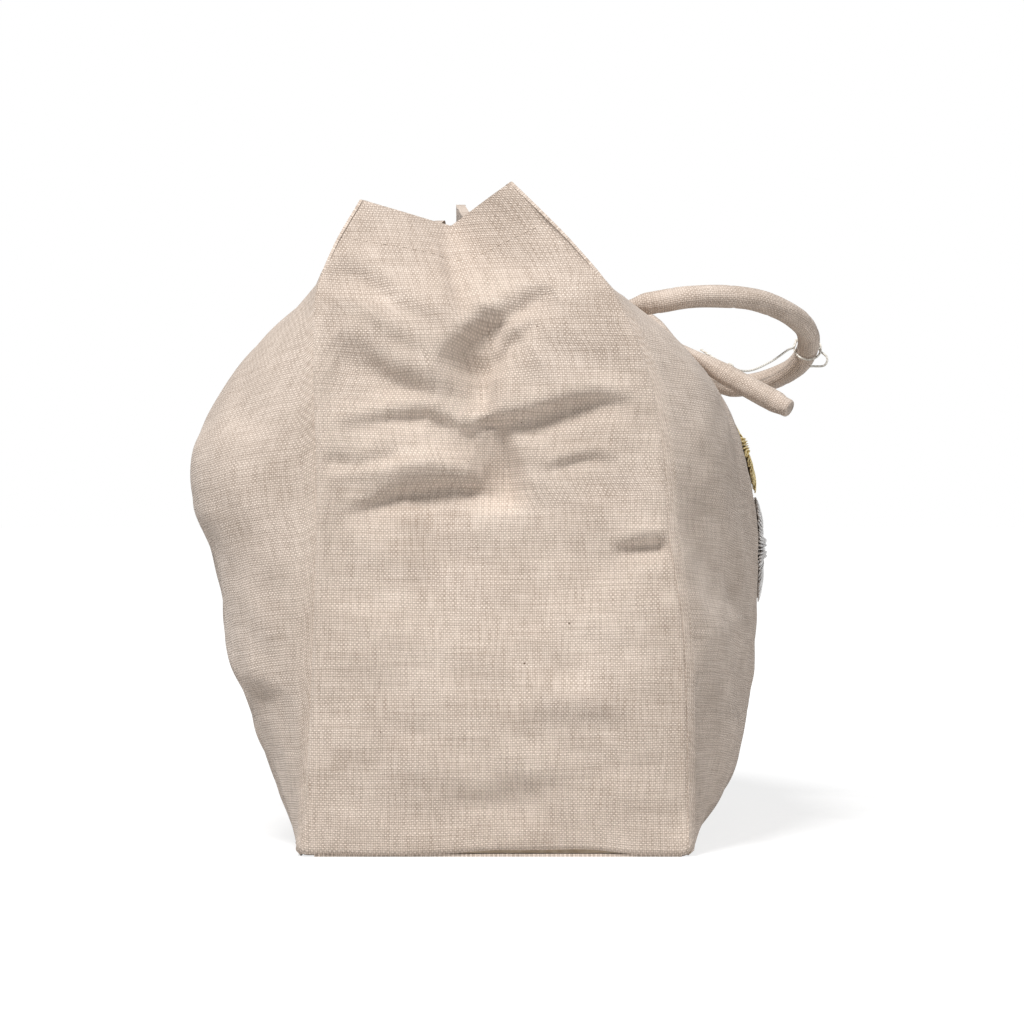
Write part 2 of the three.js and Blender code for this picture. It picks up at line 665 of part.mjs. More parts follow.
function addString(grip) {
  const toPoint = (place) => new THREE.Vector3(...place);
  const toHandle = STRING_TO_HANDLE.map(toPoint);
  const fromHandle = STRING_FROM_HANDLE.map(toPoint);
  const route = [...toHandle, ...windingPoints(grip), ...fromHandle];
  const path = new THREE.CatmullRomCurve3(route, false, 'centripetal').getSpacedPoints(STRING_STEPS);
  const knot = toPoint(STRING_TO_HANDLE[KNOT_POINT]);
  const sizeAt = (i) => {
    const swell = Math.exp(-((path[i].distanceTo(knot) / (KNOT_DIAMETER / 2)) ** 2));
    const diameter = THREE.MathUtils.lerp(STRING_DIAMETER, KNOT_DIAMETER, swell);
    return [diameter, diameter];
  };
  const rings = ringsAlong(path, framesAlong(path), sizeAt, STRING_SIDES);
  addPart('tag_string', rodGeometry(rings), CORD_COLOR, CLOTH_ROUGHNESS);
}

// Fold line of a handle: just above the top of its sewn end.
const FOLD_STANDOFF = END_THICKNESS + SEAT_GAP + CLEARANCE + FLAT_THICKNESS / 2;

// The front handle has toppled outwards: its near leg stays high and its far leg lies low.
// Points run from the left end to the right end as [out from the fold, along Y, up from the fold].
const FRONT_GRIP = [
  [GRIP_START, -60, 0], [11, -59.5, 1.5], [22, -58, 3.5], [38, -52, 4.5], [54, -43, 3.5], [69, -29, -1],
  [79, -13, -7], [82, 3, -14], [79, 18, -22], [72, 31, -27], [61, 42, -30.5], [48, 47.5, -31.5],
  [34, 47.5, -25], [22, 51, -14.5], [11, 57, -2.2], [GRIP_START, 60, 0],
];

function addFrontHandle() {
  const fold = anchorPoint(FRONT, HANDLE_HALF_SPACING, FRONT_ANCHOR_HEIGHT, FOLD_STANDOFF);
  const scale = HANDLE_HALF_SPACING / -FRONT_GRIP[0][1];
  const points = FRONT_GRIP.map(([out, y, up]) => new THREE.Vector3(fold.x + out, y * scale, fold.z + up));
  const grip = addGrip(points, 'front_handle');
  addString(grip);
  addEnd(standingEndPath(), 'front_handle_left');
  addEnd(lyingEndPath(FRONT, 1, FRONT_ANCHOR_HEIGHT, FRONT_TAIL_SPLAY), 'front_handle_right');
}

// The back handle hangs down over the back panel, between its two ends.
// Points run from an end to the middle as [from the middle along Y, down from the anchor, off the panel].
const BACK_GRIP = [
  [59.8, 2.9, 8.3], [55.8, 5.6, 9.4], [49.3, 9.5, 9.2], [44.8, 14.5, 8], [41.3, 21, 6.9], [38.3, 30, 6.4],
  [35, 41, 6.4], [29.5, 53, 6.4], [21, 62.5, 6.4], [10.5, 68.5, 6.4], [0, 70.5, 6.4],
];
const BACK_GRIP_SPACING = 60;

function addBackHandle() {
  const fold = anchorPoint(BACK, HANDLE_HALF_SPACING, BACK_ANCHOR_HEIGHT, FOLD_STANDOFF);
  const scale = HANDLE_HALF_SPACING / BACK_GRIP_SPACING;
  const leg = (end) => [
    new THREE.Vector3(fold.x - GRIP_START, end * HANDLE_HALF_SPACING, fold.z),
    ...BACK_GRIP.map(([y, down, off]) => anchorPoint(BACK, end * y * scale, BACK_ANCHOR_HEIGHT - down, off)),
  ];
  addGrip([...leg(-1), ...leg(1).reverse().slice(1)], 'back_handle');
  addEnd(lyingEndPath(BACK, -1, BACK_ANCHOR_HEIGHT, BACK_TAIL_SPLAY), 'back_handle_left');
  addEnd(lyingEndPath(BACK, 1, BACK_ANCHOR_HEIGHT, BACK_TAIL_SPLAY), 'back_handle_right');
}

addFrontHandle();
addBackHandle();

// Flowers: lobed pads of raised stitching, following the front panel.
const PETAL_STEPS = 6;

function flowerGeometry(flower) {
  const rings = [0.1, 0.45, 0.75, 1];
  const spokes = flower.petals * PETAL_STEPS;
  const face = (lift) => rings.map((share) => Array.from({ length: spokes }, (_, k) => {
    const angle = (2 * Math.PI * k) / spokes;
    const lobe = 1 - PETAL_DEPTH * share * (1 - Math.abs(Math.sin((flower.petals * angle) / 2)));
    const reach = flower.radius * share * lobe;
    const y = flower.y + reach * Math.cos(angle);
    const z = flower.z + reach * Math.sin(angle);
    return sidePoint(FRONT, y, z).addScaledVector(sideNormal(FRONT, y, z), lift);
  }));
  const crown = face(FLOWER_THICKNESS);
  const seat = face(SEAT_GAP);
  const vertices = [...crown.flat(), ...seat.flat()];
  const count = rings.length * spokes;
  const triangles = [];
  for (let k = 0; k < spokes; k += 1) {
    const next = (k + 1) % spokes;
    for (let i = 0; i < rings.length - 1; i += 1) {
      const [a, b] = [i * spokes + k, i * spokes + next];
      quad(triangles, a, a + spokes, b + spokes, b);
      quad(triangles, a + count, b + count, b + spokes + count, a + spokes + count);
    }
    const rim = (rings.length - 1) * spokes;
    quad(triangles, rim + k, rim + k + count, rim + next + count, rim + next);
  }
  for (let k = 1; k < spokes - 1; k += 1) {
    triangles.push([0, k, k + 1], [count, count + k + 1, count + k]);
  }
  return closedGeometry(vertices, triangles);
}

for (const flower of FLOWERS) {
  addPart(flower.name, flowerGeometry(flower), flower.color, CLOTH_ROUGHNESS);
}

export default bag;
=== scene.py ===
"""Looks of the linen handbag: soft cloth shells, stuffed handles, raffia flowers, thread and a studio."""

import json
import math
from types import SimpleNamespace

import bmesh
import bpy
import numpy as np
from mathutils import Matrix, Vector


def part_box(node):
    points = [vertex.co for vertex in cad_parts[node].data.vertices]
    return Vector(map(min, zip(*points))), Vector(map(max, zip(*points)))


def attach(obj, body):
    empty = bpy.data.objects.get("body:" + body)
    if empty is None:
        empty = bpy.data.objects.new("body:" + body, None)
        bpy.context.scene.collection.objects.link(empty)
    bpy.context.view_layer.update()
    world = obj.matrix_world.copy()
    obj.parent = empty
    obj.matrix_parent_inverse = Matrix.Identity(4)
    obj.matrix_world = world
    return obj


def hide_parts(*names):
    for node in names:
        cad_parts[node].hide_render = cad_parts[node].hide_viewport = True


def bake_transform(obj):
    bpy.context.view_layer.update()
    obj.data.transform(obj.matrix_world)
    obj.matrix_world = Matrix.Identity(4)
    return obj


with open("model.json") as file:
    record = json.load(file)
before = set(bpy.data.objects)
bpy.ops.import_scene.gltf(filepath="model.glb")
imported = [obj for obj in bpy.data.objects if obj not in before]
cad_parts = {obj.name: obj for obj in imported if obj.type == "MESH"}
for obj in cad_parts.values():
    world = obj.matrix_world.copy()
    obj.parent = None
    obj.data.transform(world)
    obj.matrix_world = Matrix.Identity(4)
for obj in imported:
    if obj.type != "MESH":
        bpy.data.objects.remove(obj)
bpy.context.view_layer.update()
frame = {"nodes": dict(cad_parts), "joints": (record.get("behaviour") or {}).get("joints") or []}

# All shapes below are in millimetres, in the frame of the solids, and become metres in a mesh.
MM = 0.001

# Bag.
BAG_LENGTH = 330
BASE_WIDTH = 161
FRONT_HEIGHT = 279.5
BACK_HEIGHT = 272
MOUTH_RISE = 2
FRONT_MOUTH_SAG = 12
BACK_MOUTH_SAG = 13
MOUTH_FRONT_CORNER = 6
MOUTH_BACK_CORNER = -58
MOUTH_SNAP_X = -22
MOUTH_DRAW_IN = 26
MOUTH_DRAW_POWER = 5
FRONT_FOLD_HEIGHT = 232
BACK_FOLD_HEIGHT = 240
CLOTH = 1.2
LINING = 0.6
CLEARANCE = 0.3
SEAT_GAP = 0.8
BAND_SPACE = 1.7
SEAM_COVER = 0.3
BACK_SPREAD = 3.2
SPREAD_HEIGHT = 14
BULGE_POWER = 2.4
FRONT_PUFF_POWER = 2
BACK_PUFF_POWER = 3
SNAP_DIAMETER = 14
SNAP_HEIGHT = 265
PRESSED_MARGIN = 1
STUD_PLATE = 1.6
SOCKET_THICKNESS = 2.6

# Gusset.
CREASE_HEIGHT = 262.5
CREASE_SHIFT = -20
CREASE_DEPTH = 18
CREASE_FOOT_SHARE = 0.72
BELLY_TOP_SHARE = 0.48
CREASE_ROUNDING = 0.14
CREASE_DEEPENING = 1.3
CREASE_POWER = 1.6
GUSSET_BELLY = 4.5
HEM_DEPTH = 18

# Handles.
HANDLE_DIAMETER = 10
HANDLE_HALF_SPACING = 60
HANDLE_TAPER = 10
FLAT_THICKNESS = 5
FLAT_WIDTH = 12.5
END_THICKNESS = 3.2
END_WIDTH = 12.5
END_SEWN_LENGTH = 34
TAIL_LENGTH = 48
TAIL_THICKNESS = 9.6
FRONT_TAIL_SPLAY = 0.28
BACK_TAIL_SPLAY = 0.06
GRIP_START = 0.6
GRIP_TUCK = 4
FRONT_TAIL_DROP = -0.5
FRONT_ANCHOR_HEIGHT = 226
BACK_ANCHOR_HEIGHT = 224
TACK_PLACES = {"upper": 15, "lower": 25}
# Front grip from its fold line, as (out, y, up). One leg of the back grip, as (y, down, off the panel).
FRONT_GRIP = [
    (GRIP_START, -60, 0), (11, -59.5, 1.5), (22, -58, 3.5), (38, -52, 4.5), (54, -43, 3.5), (69, -29, -1),
    (79, -13, -7), (82, 3, -14), (79, 18, -22), (72, 31, -27), (61, 42, -30.5), (48, 47.5, -31.5),
    (34, 47.5, -25), (22, 51, -14.5), (11, 57, -2.2), (GRIP_START, 60, 0),
]
BACK_GRIP = [
    (59.8, 2.9, 8.3), (55.8, 5.6, 9.4), (49.3, 9.5, 9.2), (44.8, 14.5, 8), (41.3, 21, 6.9), (38.3, 30, 6.4),
    (35, 41, 6.4), (29.5, 53, 6.4), (21, 62.5, 6.4), (10.5, 68.5, 6.4), (0, 70.5, 6.4),
]

# Tag string: route, winding and loose end.
STRING_DIAMETER = 1
KNOT_DIAMETER = 2.8
STRING_WIND_GAP = 0.6
STRING_TURNS = 1.5
STRING_PITCH = 2.2
STRING_PLACE = 0.5
STRING_TO_HANDLE = [(88, -69, 212.5), (94, -70, 208.5), (100.8, -70, 204.8), (107.8, -62, 203.3),
                    (120.7, -35, 208.3), (130, -14, 214.5)]
KNOT_POINT = 2
STRING_FROM_HANDLE = [(149.5, 5, 212), (148, 1, 208.3), (141, -3, 207.7)]

# Flowers.
FLOWERS = [
    SimpleNamespace(name="yellow_flower", slot="yellow_raffia", y=-30, z=170, radius=20, petals=6),
    SimpleNamespace(name="white_flower", slot="white_raffia", y=-24, z=125, radius=24, petals=7),
]
PETAL_DEPTH = 0.26

# Outlines of the sides, as (share of the height, value).
FRONT_LEAN = [(0, 0), (0.23, 0.013), (0.35, 0.04), (0.48, 0.114), (0.56, 0.134), (0.675, 0.195),
              (0.765, 0.302), (0.838, 0.45), (0.906, 0.658), (0.953, 0.825), (1, 1)]
BACK_LEAN = [(0, 0), (0.24, 0.12), (0.39, 0.2), (0.54, 0.24), (0.665, 0.2), (0.76, 0.16), (0.85, 0.2),
             (0.926, 0.52), (1, 1)]
FRONT_SWELL = [(0, 0), (0.07, 17), (0.16, 27), (0.28, 33), (0.45, 35.2), (0.6, 34.8), (0.7, 29.5),
               (0.79, 18.5), (0.87, 2), (0.94, -19.5), (1, -40.5)]
BACK_SWELL = [(0, 0), (0.08, 12.5), (0.16, 20.5), (0.26, 28.5), (0.35, 33.5), (0.44, 36), (0.53, 37.5),
              (0.61, 40.5), (0.68, 39.5), (0.75, 32), (0.82, 18), (0.88, 3), (0.94, -13.5), (1, -27.5)]
FRONT_PUFF = [(0, 0), (0.4, 0), (0.6, 2), (0.75, 8), (0.86, 13), (0.94, 13), (1, 9), (1.05, 3),
              (1.1, 0), (1.22, 0)]
BACK_PUFF = [(0, 0), (0.05, 3), (0.16, 6.5), (0.31, 13), (0.44, 19), (0.56, 25.5), (0.62, 29), (0.68, 31.5),
             (0.74, 30), (0.8, 26), (0.88, 18.5), (0.955, 9), (1, 5.5), (1.05, 1.5), (1.1, 0), (1.14, 0)]

# Camera: level, in front of the left gusset.
PHOTO_PIXELS = 1024
FOCAL_PIXELS = 3658
SENSOR_WIDTH = 36
CAMERA_PLACE = (5.7, -1665, 141.5)

# Folds of the gussets, in pixels of the photograph: points, width, then depth and lip in millimetres.
# A positive depth is a valley and a negative one a ridge. With a lip the cloth rises on the left of the
# run, drops steeply on its right and comes back gently further on.
GUSSET_FOLDS = {
    "centre_groove": ([(441, 226), (452, 262), (460, 298), (466, 325)], 11, 3.0, 0),
    "centre_deep": ([(508, 318), (500, 345), (496, 375), (499, 426)], 11, 8.5, 0.6),
    "centre_foot": ([(502, 408), (511, 438), (518, 465), (520, 510)], 11, 7.0, 0.5),
    "centre_lower_ramp": ([(536, 498), (497, 512), (458, 498)], 16, 4.0, 0.3),
    "left_sink": ([(346, 336), (400, 362), (440, 374), (488, 370)], 22, 5.0, 0.3),
    "centre_sink": ([(432, 350), (460, 350), (484, 342), (512, 322)], 16, 4.2, 0.3),
    "right_upper_valley": ([(436, 352), (458, 338), (471, 326), (493, 314), (516, 302), (548, 282)],
                           9, 5.4, 1.2),
    "right_upper_line": ([(484, 360), (506, 336), (538, 318)], 6, 2.2, 1.0),
    "right_long_crease": ([(456, 430), (471, 424), (490, 416), (526, 410), (566, 399), (599, 393),
                           (636, 397)], 8, 5.0, 1.0),
    "right_faint_crease": ([(540, 466), (575, 455), (595, 452), (620, 458)], 5, 1.7, 0.8),
    "right_seam_notch": ([(610, 547), (643, 539), (684, 538)], 7, 3.2, 1.2),
    "left_top_drag": ([(330, 258), (367, 270), (400, 298), (452, 326)], 10, 2.6, 1.0),
    "left_middle_drag": ([(340, 296), (400, 334), (450, 360)], 10, 2.2, 0.8),
    "left_low_drag": ([(345, 326), (390, 362), (442, 384)], 12, 3.6, 0.8),
    "left_arch": ([(338, 420), (390, 410), (425, 406), (450, 416), (482, 428)], 8, 3.4, 1.0),
    "left_blot": ([(318, 453), (357, 457), (398, 448)], 9, 3.0, 0.8),
    "left_roll": ([(312, 476), (373, 470), (430, 460), (488, 470)], 13, -4.2, 0),
    "left_valley": ([(344, 508), (400, 487), (425, 482), (450, 479), (473, 482), (500, 491)], 8, 4.0, 1.0),
    "low_right_fold": ([(520, 708), (635, 717)], 15, 1.6, 1.0),
    "low_middle_fold": ([(490, 775), (566, 782)], 15, 1.5, 0.9),
    "low_left_fold": ([(435, 799), (548, 788)], 15, 1.5, 0.9),
}
# How far a gusset stands out or sinks in below its folded top, as (pixel row, millimetres).
SLOUCH = [(0, 0), (250, 0), (290, 2), (320, 3), (350, 0), (420, -6), (495, -12), (540, -11), (620, -6.5),
          (700, -2.5), (780, 0), (1024, 0)]

# Folds of the panels, as (y, z) points, width, depth and lip in millimetres.
BACK_FOLDS = {
    "shoulder_roll": ([(-158, 226), (-115, 214), (-76, 208)], 20, -2.8, 0),
    "flank_roll": ([(-158, 152), (-105, 146), (-50, 150)], 15, -2.6, 0),
    "diagonal_ridge": ([(-55, 112), (-95, 92), (-140, 70)], 12, -2.4, 0),
    "seam_crease": ([(-120, 71), (-163, 68)], 5, 2.0, 0.6),
    "far_sag": ([(60, 160), (110, 140), (155, 150)], 13, 2.2, 1.2),
    "low_sag": ([(-20, 50), (60, 42), (120, 52)], 14, 1.8, 1.0),
}
FRONT_FOLDS = {
    "upper_wrinkle": ([(-160, 104), (-120, 98), (-70, 103)], 8, 1.6, 1.0),
    "lower_wrinkle": ([(-160, 60), (-125, 55), (-80, 58)], 8, 1.4, 0.8),
    "far_shoulder_drag": ([(80, 204), (112, 194), (150, 206)], 10, 1.8, 1.2),
    "far_wrinkle": ([(40, 80), (95, 72), (155, 84)], 12, 2.0, 1.2),
    "middle_wrinkle": ([(-10, 66), (40, 58), (90, 62)], 12, 1.8, 1.0),
}

# Shape helpers

PATH_STEPS = 24
FOLD_FADE_POWER = 0.6
FOLD_STEEP = 0.9
FOLD_GENTLE = 2.6
LIP_REACH = 1.3
WRINKLE_TURN = 0.5
WRINKLE_BOW = 0.12
WRINKLE_LIP = 0.6
NOISE_WAVES = 7
NOISE_LENGTHS = (0.6, 1.7)


def curve_through(points):
    """Smooth curve through (share, value) points, for arrays."""
    at, value = np.array(points, float).T
    slope = np.empty(len(at))
    slope[1:-1] = (value[2:] - value[:-2]) / (at[2:] - at[:-2])
    slope[0] = (value[1] - value[0]) / (at[1] - at[0])
    slope[-1] = (value[-1] - value[-2]) / (at[-1] - at[-2])

    def curve(t):
        t = np.clip(t, at[0], at[-1])
        i = np.clip(np.searchsorted(at, t) - 1, 0, len(at) - 2)
        span = at[i + 1] - at[i]
        u = (t - at[i]) / span
        rise = value[i + 1] - value[i]
        bend = (1 - u) * (slope[i] * span - rise) + u * (rise - slope[i + 1] * span)
        return value[i] + u * rise + u * (1 - u) * bend

    return curve


def lerp(a, b, t):
    return a + (b - a) * t


def smoothstep(t, low, high):
    t = np.clip((t - low) / (high - low), 0, 1)
    return t * t * (3 - 2 * t)


def unit(vectors):
    return vectors / np.maximum(np.linalg.norm(vectors, axis=-1, keepdims=True), 1e-9)


def path_run(path):
    """Distance of each point of a path from its start, along the path."""
    return np.concatenate([[0], np.cumsum(np.linalg.norm(np.diff(path, axis=0), axis=1))])


def path_length(path):
    return float(np.linalg.norm(np.diff(path, axis=0), axis=1).sum())


def along_run(places, run, values):
    """Values at places on a run, for rows of three."""
    return np.stack([np.interp(places, run, values[:, axis]) for axis in range(3)], axis=1)


def smooth_path(points, count):
    """Evenly spaced points on a centripetal curve through the points."""
    points = np.asarray(points, float)
    padded = np.vstack([2 * points[0] - points[1], points, 2 * points[-1] - points[-2]])
    pieces = []
    for i in range(len(points) - 1):
        p = padded[i:i + 4]
        k = np.concatenate([[0], np.cumsum(np.linalg.norm(np.diff(p, axis=0), axis=1) ** 0.5)])
        t = np.linspace(k[1], k[2], PATH_STEPS, endpoint=False)[:, None]

        def between(a, b, low, high):
            return (a * (high - t) + b * (t - low)) / (high - low)

        first = [between(p[j], p[j + 1], k[j], k[j + 1]) for j in range(3)]
        second = [between(first[j], first[j + 1], k[j], k[j + 2]) for j in range(2)]
        pieces.append(between(second[0], second[1], k[1], k[2]))
    dense = np.vstack(pieces + [points[-1:]])
    run = path_run(dense)
    return along_run(np.linspace(0, run[-1], count), run, dense)


def fold_relief(a, b, folds):
    """Outward rise in millimetres of a set of folds, at places (a, b)."""
    rise = np.zeros(a.shape)
    for points, width, depth, lip in folds:
        points = np.asarray(points, float)
        lengths = np.linalg.norm(np.diff(points, axis=0), axis=1)
        nearest = np.full(a.shape, np.inf)
        across = np.zeros(a.shape)
        along = np.zeros(a.shape)
        run = 0
        for start, stop, length in zip(points[:-1], points[1:], lengths):
            heading = (stop - start) / length
            t = np.clip((a - start[0]) * heading[0] + (b - start[1]) * heading[1], 0, length)
            da = a - start[0] - t * heading[0]
            db = b - start[1] - t * heading[1]
            distance = np.hypot(da, db)
            closer = distance < nearest
            nearest = np.where(closer, distance, nearest)
            across = np.where(closer, np.sign(heading[0] * db - heading[1] * da) * distance, across)
            along = np.where(closer, (run + t) / lengths.sum(), along)
            run += length
        fade = np.sin(np.pi * along) ** FOLD_FADE_POWER
        if lip:
            reach = np.where(across < width, FOLD_STEEP * width, FOLD_GENTLE * width)
            rise -= depth * fade * np.exp(-((across - width) / reach) ** 2)
            rise += lip * fade * np.exp(-((across + width) / (LIP_REACH * width)) ** 2)
        else:
            rise -= depth * fade * np.exp(-(across / width) ** 2)
    return rise


def random_folds(seed, count, low, high, length, width, depth):
    """Soft random wrinkles inside a box of (a, b) places, the same at every run."""
    rng = np.random.default_rng(seed)
    folds = []
    for _ in range(count):
        middle = rng.uniform(low, high)
        angle = rng.normal(0, WRINKLE_TURN)
        half = 0.5 * rng.uniform(*length) * np.array([math.cos(angle), math.sin(angle)])
        bow = rng.normal(0, WRINKLE_BOW) * np.array([-half[1], half[0]])
        points = [middle - half, middle + bow, middle + half]
        amount = rng.uniform(*depth)
        folds.append((points, rng.uniform(*width), amount, WRINKLE_LIP * amount))
    return folds


def soft_noise(a, b, seed, size):
    """Gentle rise and fall from a few crossing waves, about -1 to 1, with that wavelength."""
    rng = np.random.default_rng(seed)
    total = np.zeros(a.shape)
    for _ in range(NOISE_WAVES):
        angle = rng.uniform(0, 2 * math.pi)
        length = size * rng.uniform(*NOISE_LENGTHS)
        phase = rng.uniform(0, 2 * math.pi)
        total += np.sin(2 * math.pi * (a * math.cos(angle) + b * math.sin(angle)) / length + phase)
    return total / NOISE_WAVES ** 0.5


def small_relief(a, b, seed, wrinkles, unevenness):
    """Random wrinkles of a cloth and its unevenness, which is given as (height, wavelength)."""
    relief = fold_relief(a, b, random_folds(seed, **wrinkles))
    for layer, (height, size) in enumerate(unevenness):
        relief += height * soft_noise(a, b, seed + layer, size)
    return relief


# Outline of the bag

SIDE_STACK = 2 * CLOTH + BAND_SPACE + CLEARANCE
MOUTH_STACK = 2 * SIDE_STACK + STUD_PLATE + CLEARANCE + SOCKET_THICKNESS
PRESSED_HEIGHT = SNAP_HEIGHT - SNAP_DIAMETER / 2 - PRESSED_MARGIN
# Brings the largest value of v * v * (1 - v * v) ** 2 to 1.
SAG_SCALE = 27 / 4

FRONT = SimpleNamespace(
    name="front", sign=1, height=FRONT_HEIGHT, fold=FRONT_FOLD_HEIGHT, corner=MOUTH_FRONT_CORNER,
    sag=FRONT_MOUTH_SAG, spread=0, closed=MOUTH_SNAP_X + MOUTH_STACK / 2, lean=curve_through(FRONT_LEAN),
    swell=curve_through(FRONT_SWELL), puff=curve_through(FRONT_PUFF), puff_power=FRONT_PUFF_POWER,
    folds=FRONT_FOLDS, seed=11)
BACK = SimpleNamespace(
    name="back", sign=-1, height=BACK_HEIGHT, fold=BACK_FOLD_HEIGHT, corner=-MOUTH_BACK_CORNER,
    sag=BACK_MOUTH_SAG, spread=BACK_SPREAD, closed=MOUTH_STACK / 2 - MOUTH_SNAP_X,
    lean=curve_through(BACK_LEAN), swell=curve_through(BACK_SWELL), puff=curve_through(BACK_PUFF),
    puff_power=BACK_PUFF_POWER, folds=BACK_FOLDS, seed=23)


def half_length(share):
    return BAG_LENGTH / 2 - MOUTH_DRAW_IN * share ** MOUTH_DRAW_POWER


def seam_out(side, z):
    """Distance of a seam from the middle plane, a little more where the corner of the base spreads."""
    spread = side.spread * np.exp(-z / SPREAD_HEIGHT)
    return lerp(BASE_WIDTH / 2, side.corner, side.lean(z / side.height)) + spread


def middle_out(side, z):
    lower = BASE_WIDTH / 2 + side.swell(np.minimum(z / side.fold, 1))
    t = np.clip((z - side.fold) / (PRESSED_HEIGHT - side.fold), 0, 1)
    return lerp(lower, side.closed, 1 - (1 - t) ** 2)


def mouth_edge(side, v):
    rest = 1 - v * v
    return side.height + MOUTH_RISE * rest - side.sag * SAG_SCALE * v * v * rest * rest


def puff_share(power, v):
    fullest = (power / (power + 2)) ** (power / 2) * (2 / (power + 2))
    return v ** power * (1 - v * v) / fullest


def side_out(side, y, z):
    v = np.minimum(1, np.abs(y) / half_length(z / side.height))
    middle = middle_out(side, z)
    puff = side.puff(z / side.fold) * puff_share(side.puff_power, v)
    return middle + (seam_out(side, z) - middle) * v ** BULGE_POWER + puff


def side_point(side, y, z):
    y, z = np.broadcast_arrays(np.asarray(y, float), np.asarray(z, float))
    return np.stack([side.sign * side_out(side, y, z), y, z], axis=-1)


def side_normal(side, y, z):
    along = side_point(side, y + 1, z) - side_point(side, y - 1, z)
    up = side_point(side, y, z + 1) - side_point(side, y, z - 1)
    return unit(side.sign * np.cross(along, up))


def off_panel(side, y, z, distance):
    """Points at a distance outside a panel."""
    return side_point(side, y, z) + side_normal(side, y, z) * np.asarray(distance)[..., None]


def gusset_point(end, u, share):
    across = np.abs(u)
    t = np.maximum(0, (share - CREASE_FOOT_SHARE) / (1 - CREASE_FOOT_SHARE))
    front_edge = seam_out(FRONT, share * FRONT.height) - SEAM_COVER
    back_edge = -seam_out(BACK, share * BACK.height) + SEAM_COVER
    edge = np.where(u < 0, back_edge, front_edge)
    height = np.where(u < 0, BACK.height, FRONT.height)
    rounded = np.hypot(across, CREASE_ROUNDING) - CREASE_ROUNDING
    fold = 1 - rounded / (math.hypot(1, CREASE_ROUNDING) - CREASE_ROUNDING)
    belly = GUSSET_BELLY * (1 - u * u) * np.sin(np.pi * np.minimum(1, share / BELLY_TOP_SHARE)) ** 2
    x = lerp(CREASE_SHIFT * t * t, edge, across)
    y = end * (half_length(share) - CREASE_DEPTH * t ** CREASE_DEEPENING * fold ** CREASE_POWER + belly)
    return np.stack([x, y, share * lerp(CREASE_HEIGHT, height, across)], axis=-1)


def photo_place(points):
    """Where points are seen in the photograph, in pixels."""
    away = points[..., 1] - CAMERA_PLACE[1]
    across = PHOTO_PIXELS / 2 + FOCAL_PIXELS * (points[..., 0] - CAMERA_PLACE[0]) / away
    down = PHOTO_PIXELS / 2 - FOCAL_PIXELS * (points[..., 2] - CAMERA_PLACE[2]) / away
    return across, down


# Meshes


def new_mesh(name, vertices, faces, yarn):
    """Closed, smooth mesh object in metres, with the place on the cloth in millimetres as yarn."""
    mesh = bpy.data.meshes.new(name)
    mesh.from_pydata((np.asarray(vertices) * MM).tolist(), [], faces)
    attribute = mesh.attributes.new("yarn", "FLOAT_VECTOR", "POINT")
    attribute.data.foreach_set("vector", np.asarray(yarn, np.float32).ravel())
    work = bmesh.new()
    work.from_mesh(mesh)
    bmesh.ops.recalc_face_normals(work, faces=work.faces)
    work.to_mesh(mesh)
    work.free()
    mesh.polygons.foreach_set("use_smooth", np.ones(len(mesh.polygons), bool))
    piece = bpy.data.objects.new(name, mesh)
    bpy.context.scene.collection.objects.link(piece)
    return piece


def grid_normals(points, outward):
    along = np.gradient(points, axis=1)
    up = np.gradient(points, axis=0)
    normals = unit(np.cross(along, up))
    facing = np.sign((normals * np.asarray(outward, float)).sum(-1, keepdims=True))
    return normals * np.where(facing == 0, 1, facing)


def shell(name, points, normals, depth, thickness, yarn):
    """Closed sheet of cloth under a grid of points: it starts at a depth and has a thickness."""
    rows, columns = points.shape[:2]
    outer = points - normals * np.broadcast_to(depth, (rows, columns))[..., None]
    inner = outer - normals * np.broadcast_to(thickness, (rows, columns))[..., None]
    index = np.arange(rows * columns).reshape(rows, columns)
    count = rows * columns
    faces = []
    for i in range(rows - 1):
        for j in range(columns - 1):
            a, b, c, d = index[i, j], index[i, j + 1], index[i + 1, j + 1], index[i + 1, j]
            faces.append((a, b, c, d))
            faces.append((a + count, d + count, c + count, b + count))
    loop = np.concatenate([index[0, :-1], index[:-1, -1], index[-1, :0:-1], index[:0:-1, 0]])
    for a, b in zip(loop, np.roll(loop, -1)):
        faces.append((b, a, a + count, b + count))
    vertices = np.concatenate([outer.reshape(-1, 3), inner.reshape(-1, 3)])
    places = np.concatenate([yarn.reshape(-1, 2)] * 2)
    places = np.concatenate([places, np.zeros((len(places), 1))], axis=1)
    piece = new_mesh(name, vertices, [tuple(int(k) for k in f) for f in faces], places)
    mark_rim(piece, loop, count)
    return piece


def mark_rim(piece, loop, count):
    """The cut edges of a sheet stay crisp, so that its faces shade as cloth up to the edge."""
    rim = set(int(k) for k in loop)
    rim |= {k + count for k in rim}
    sharp = piece.data.attributes.new("sharp_edge", "BOOLEAN", "EDGE")
    flags = [e.vertices[0] in rim and e.vertices[1] in rim for e in piece.data.edges]
    sharp.data.foreach_set("value", flags)


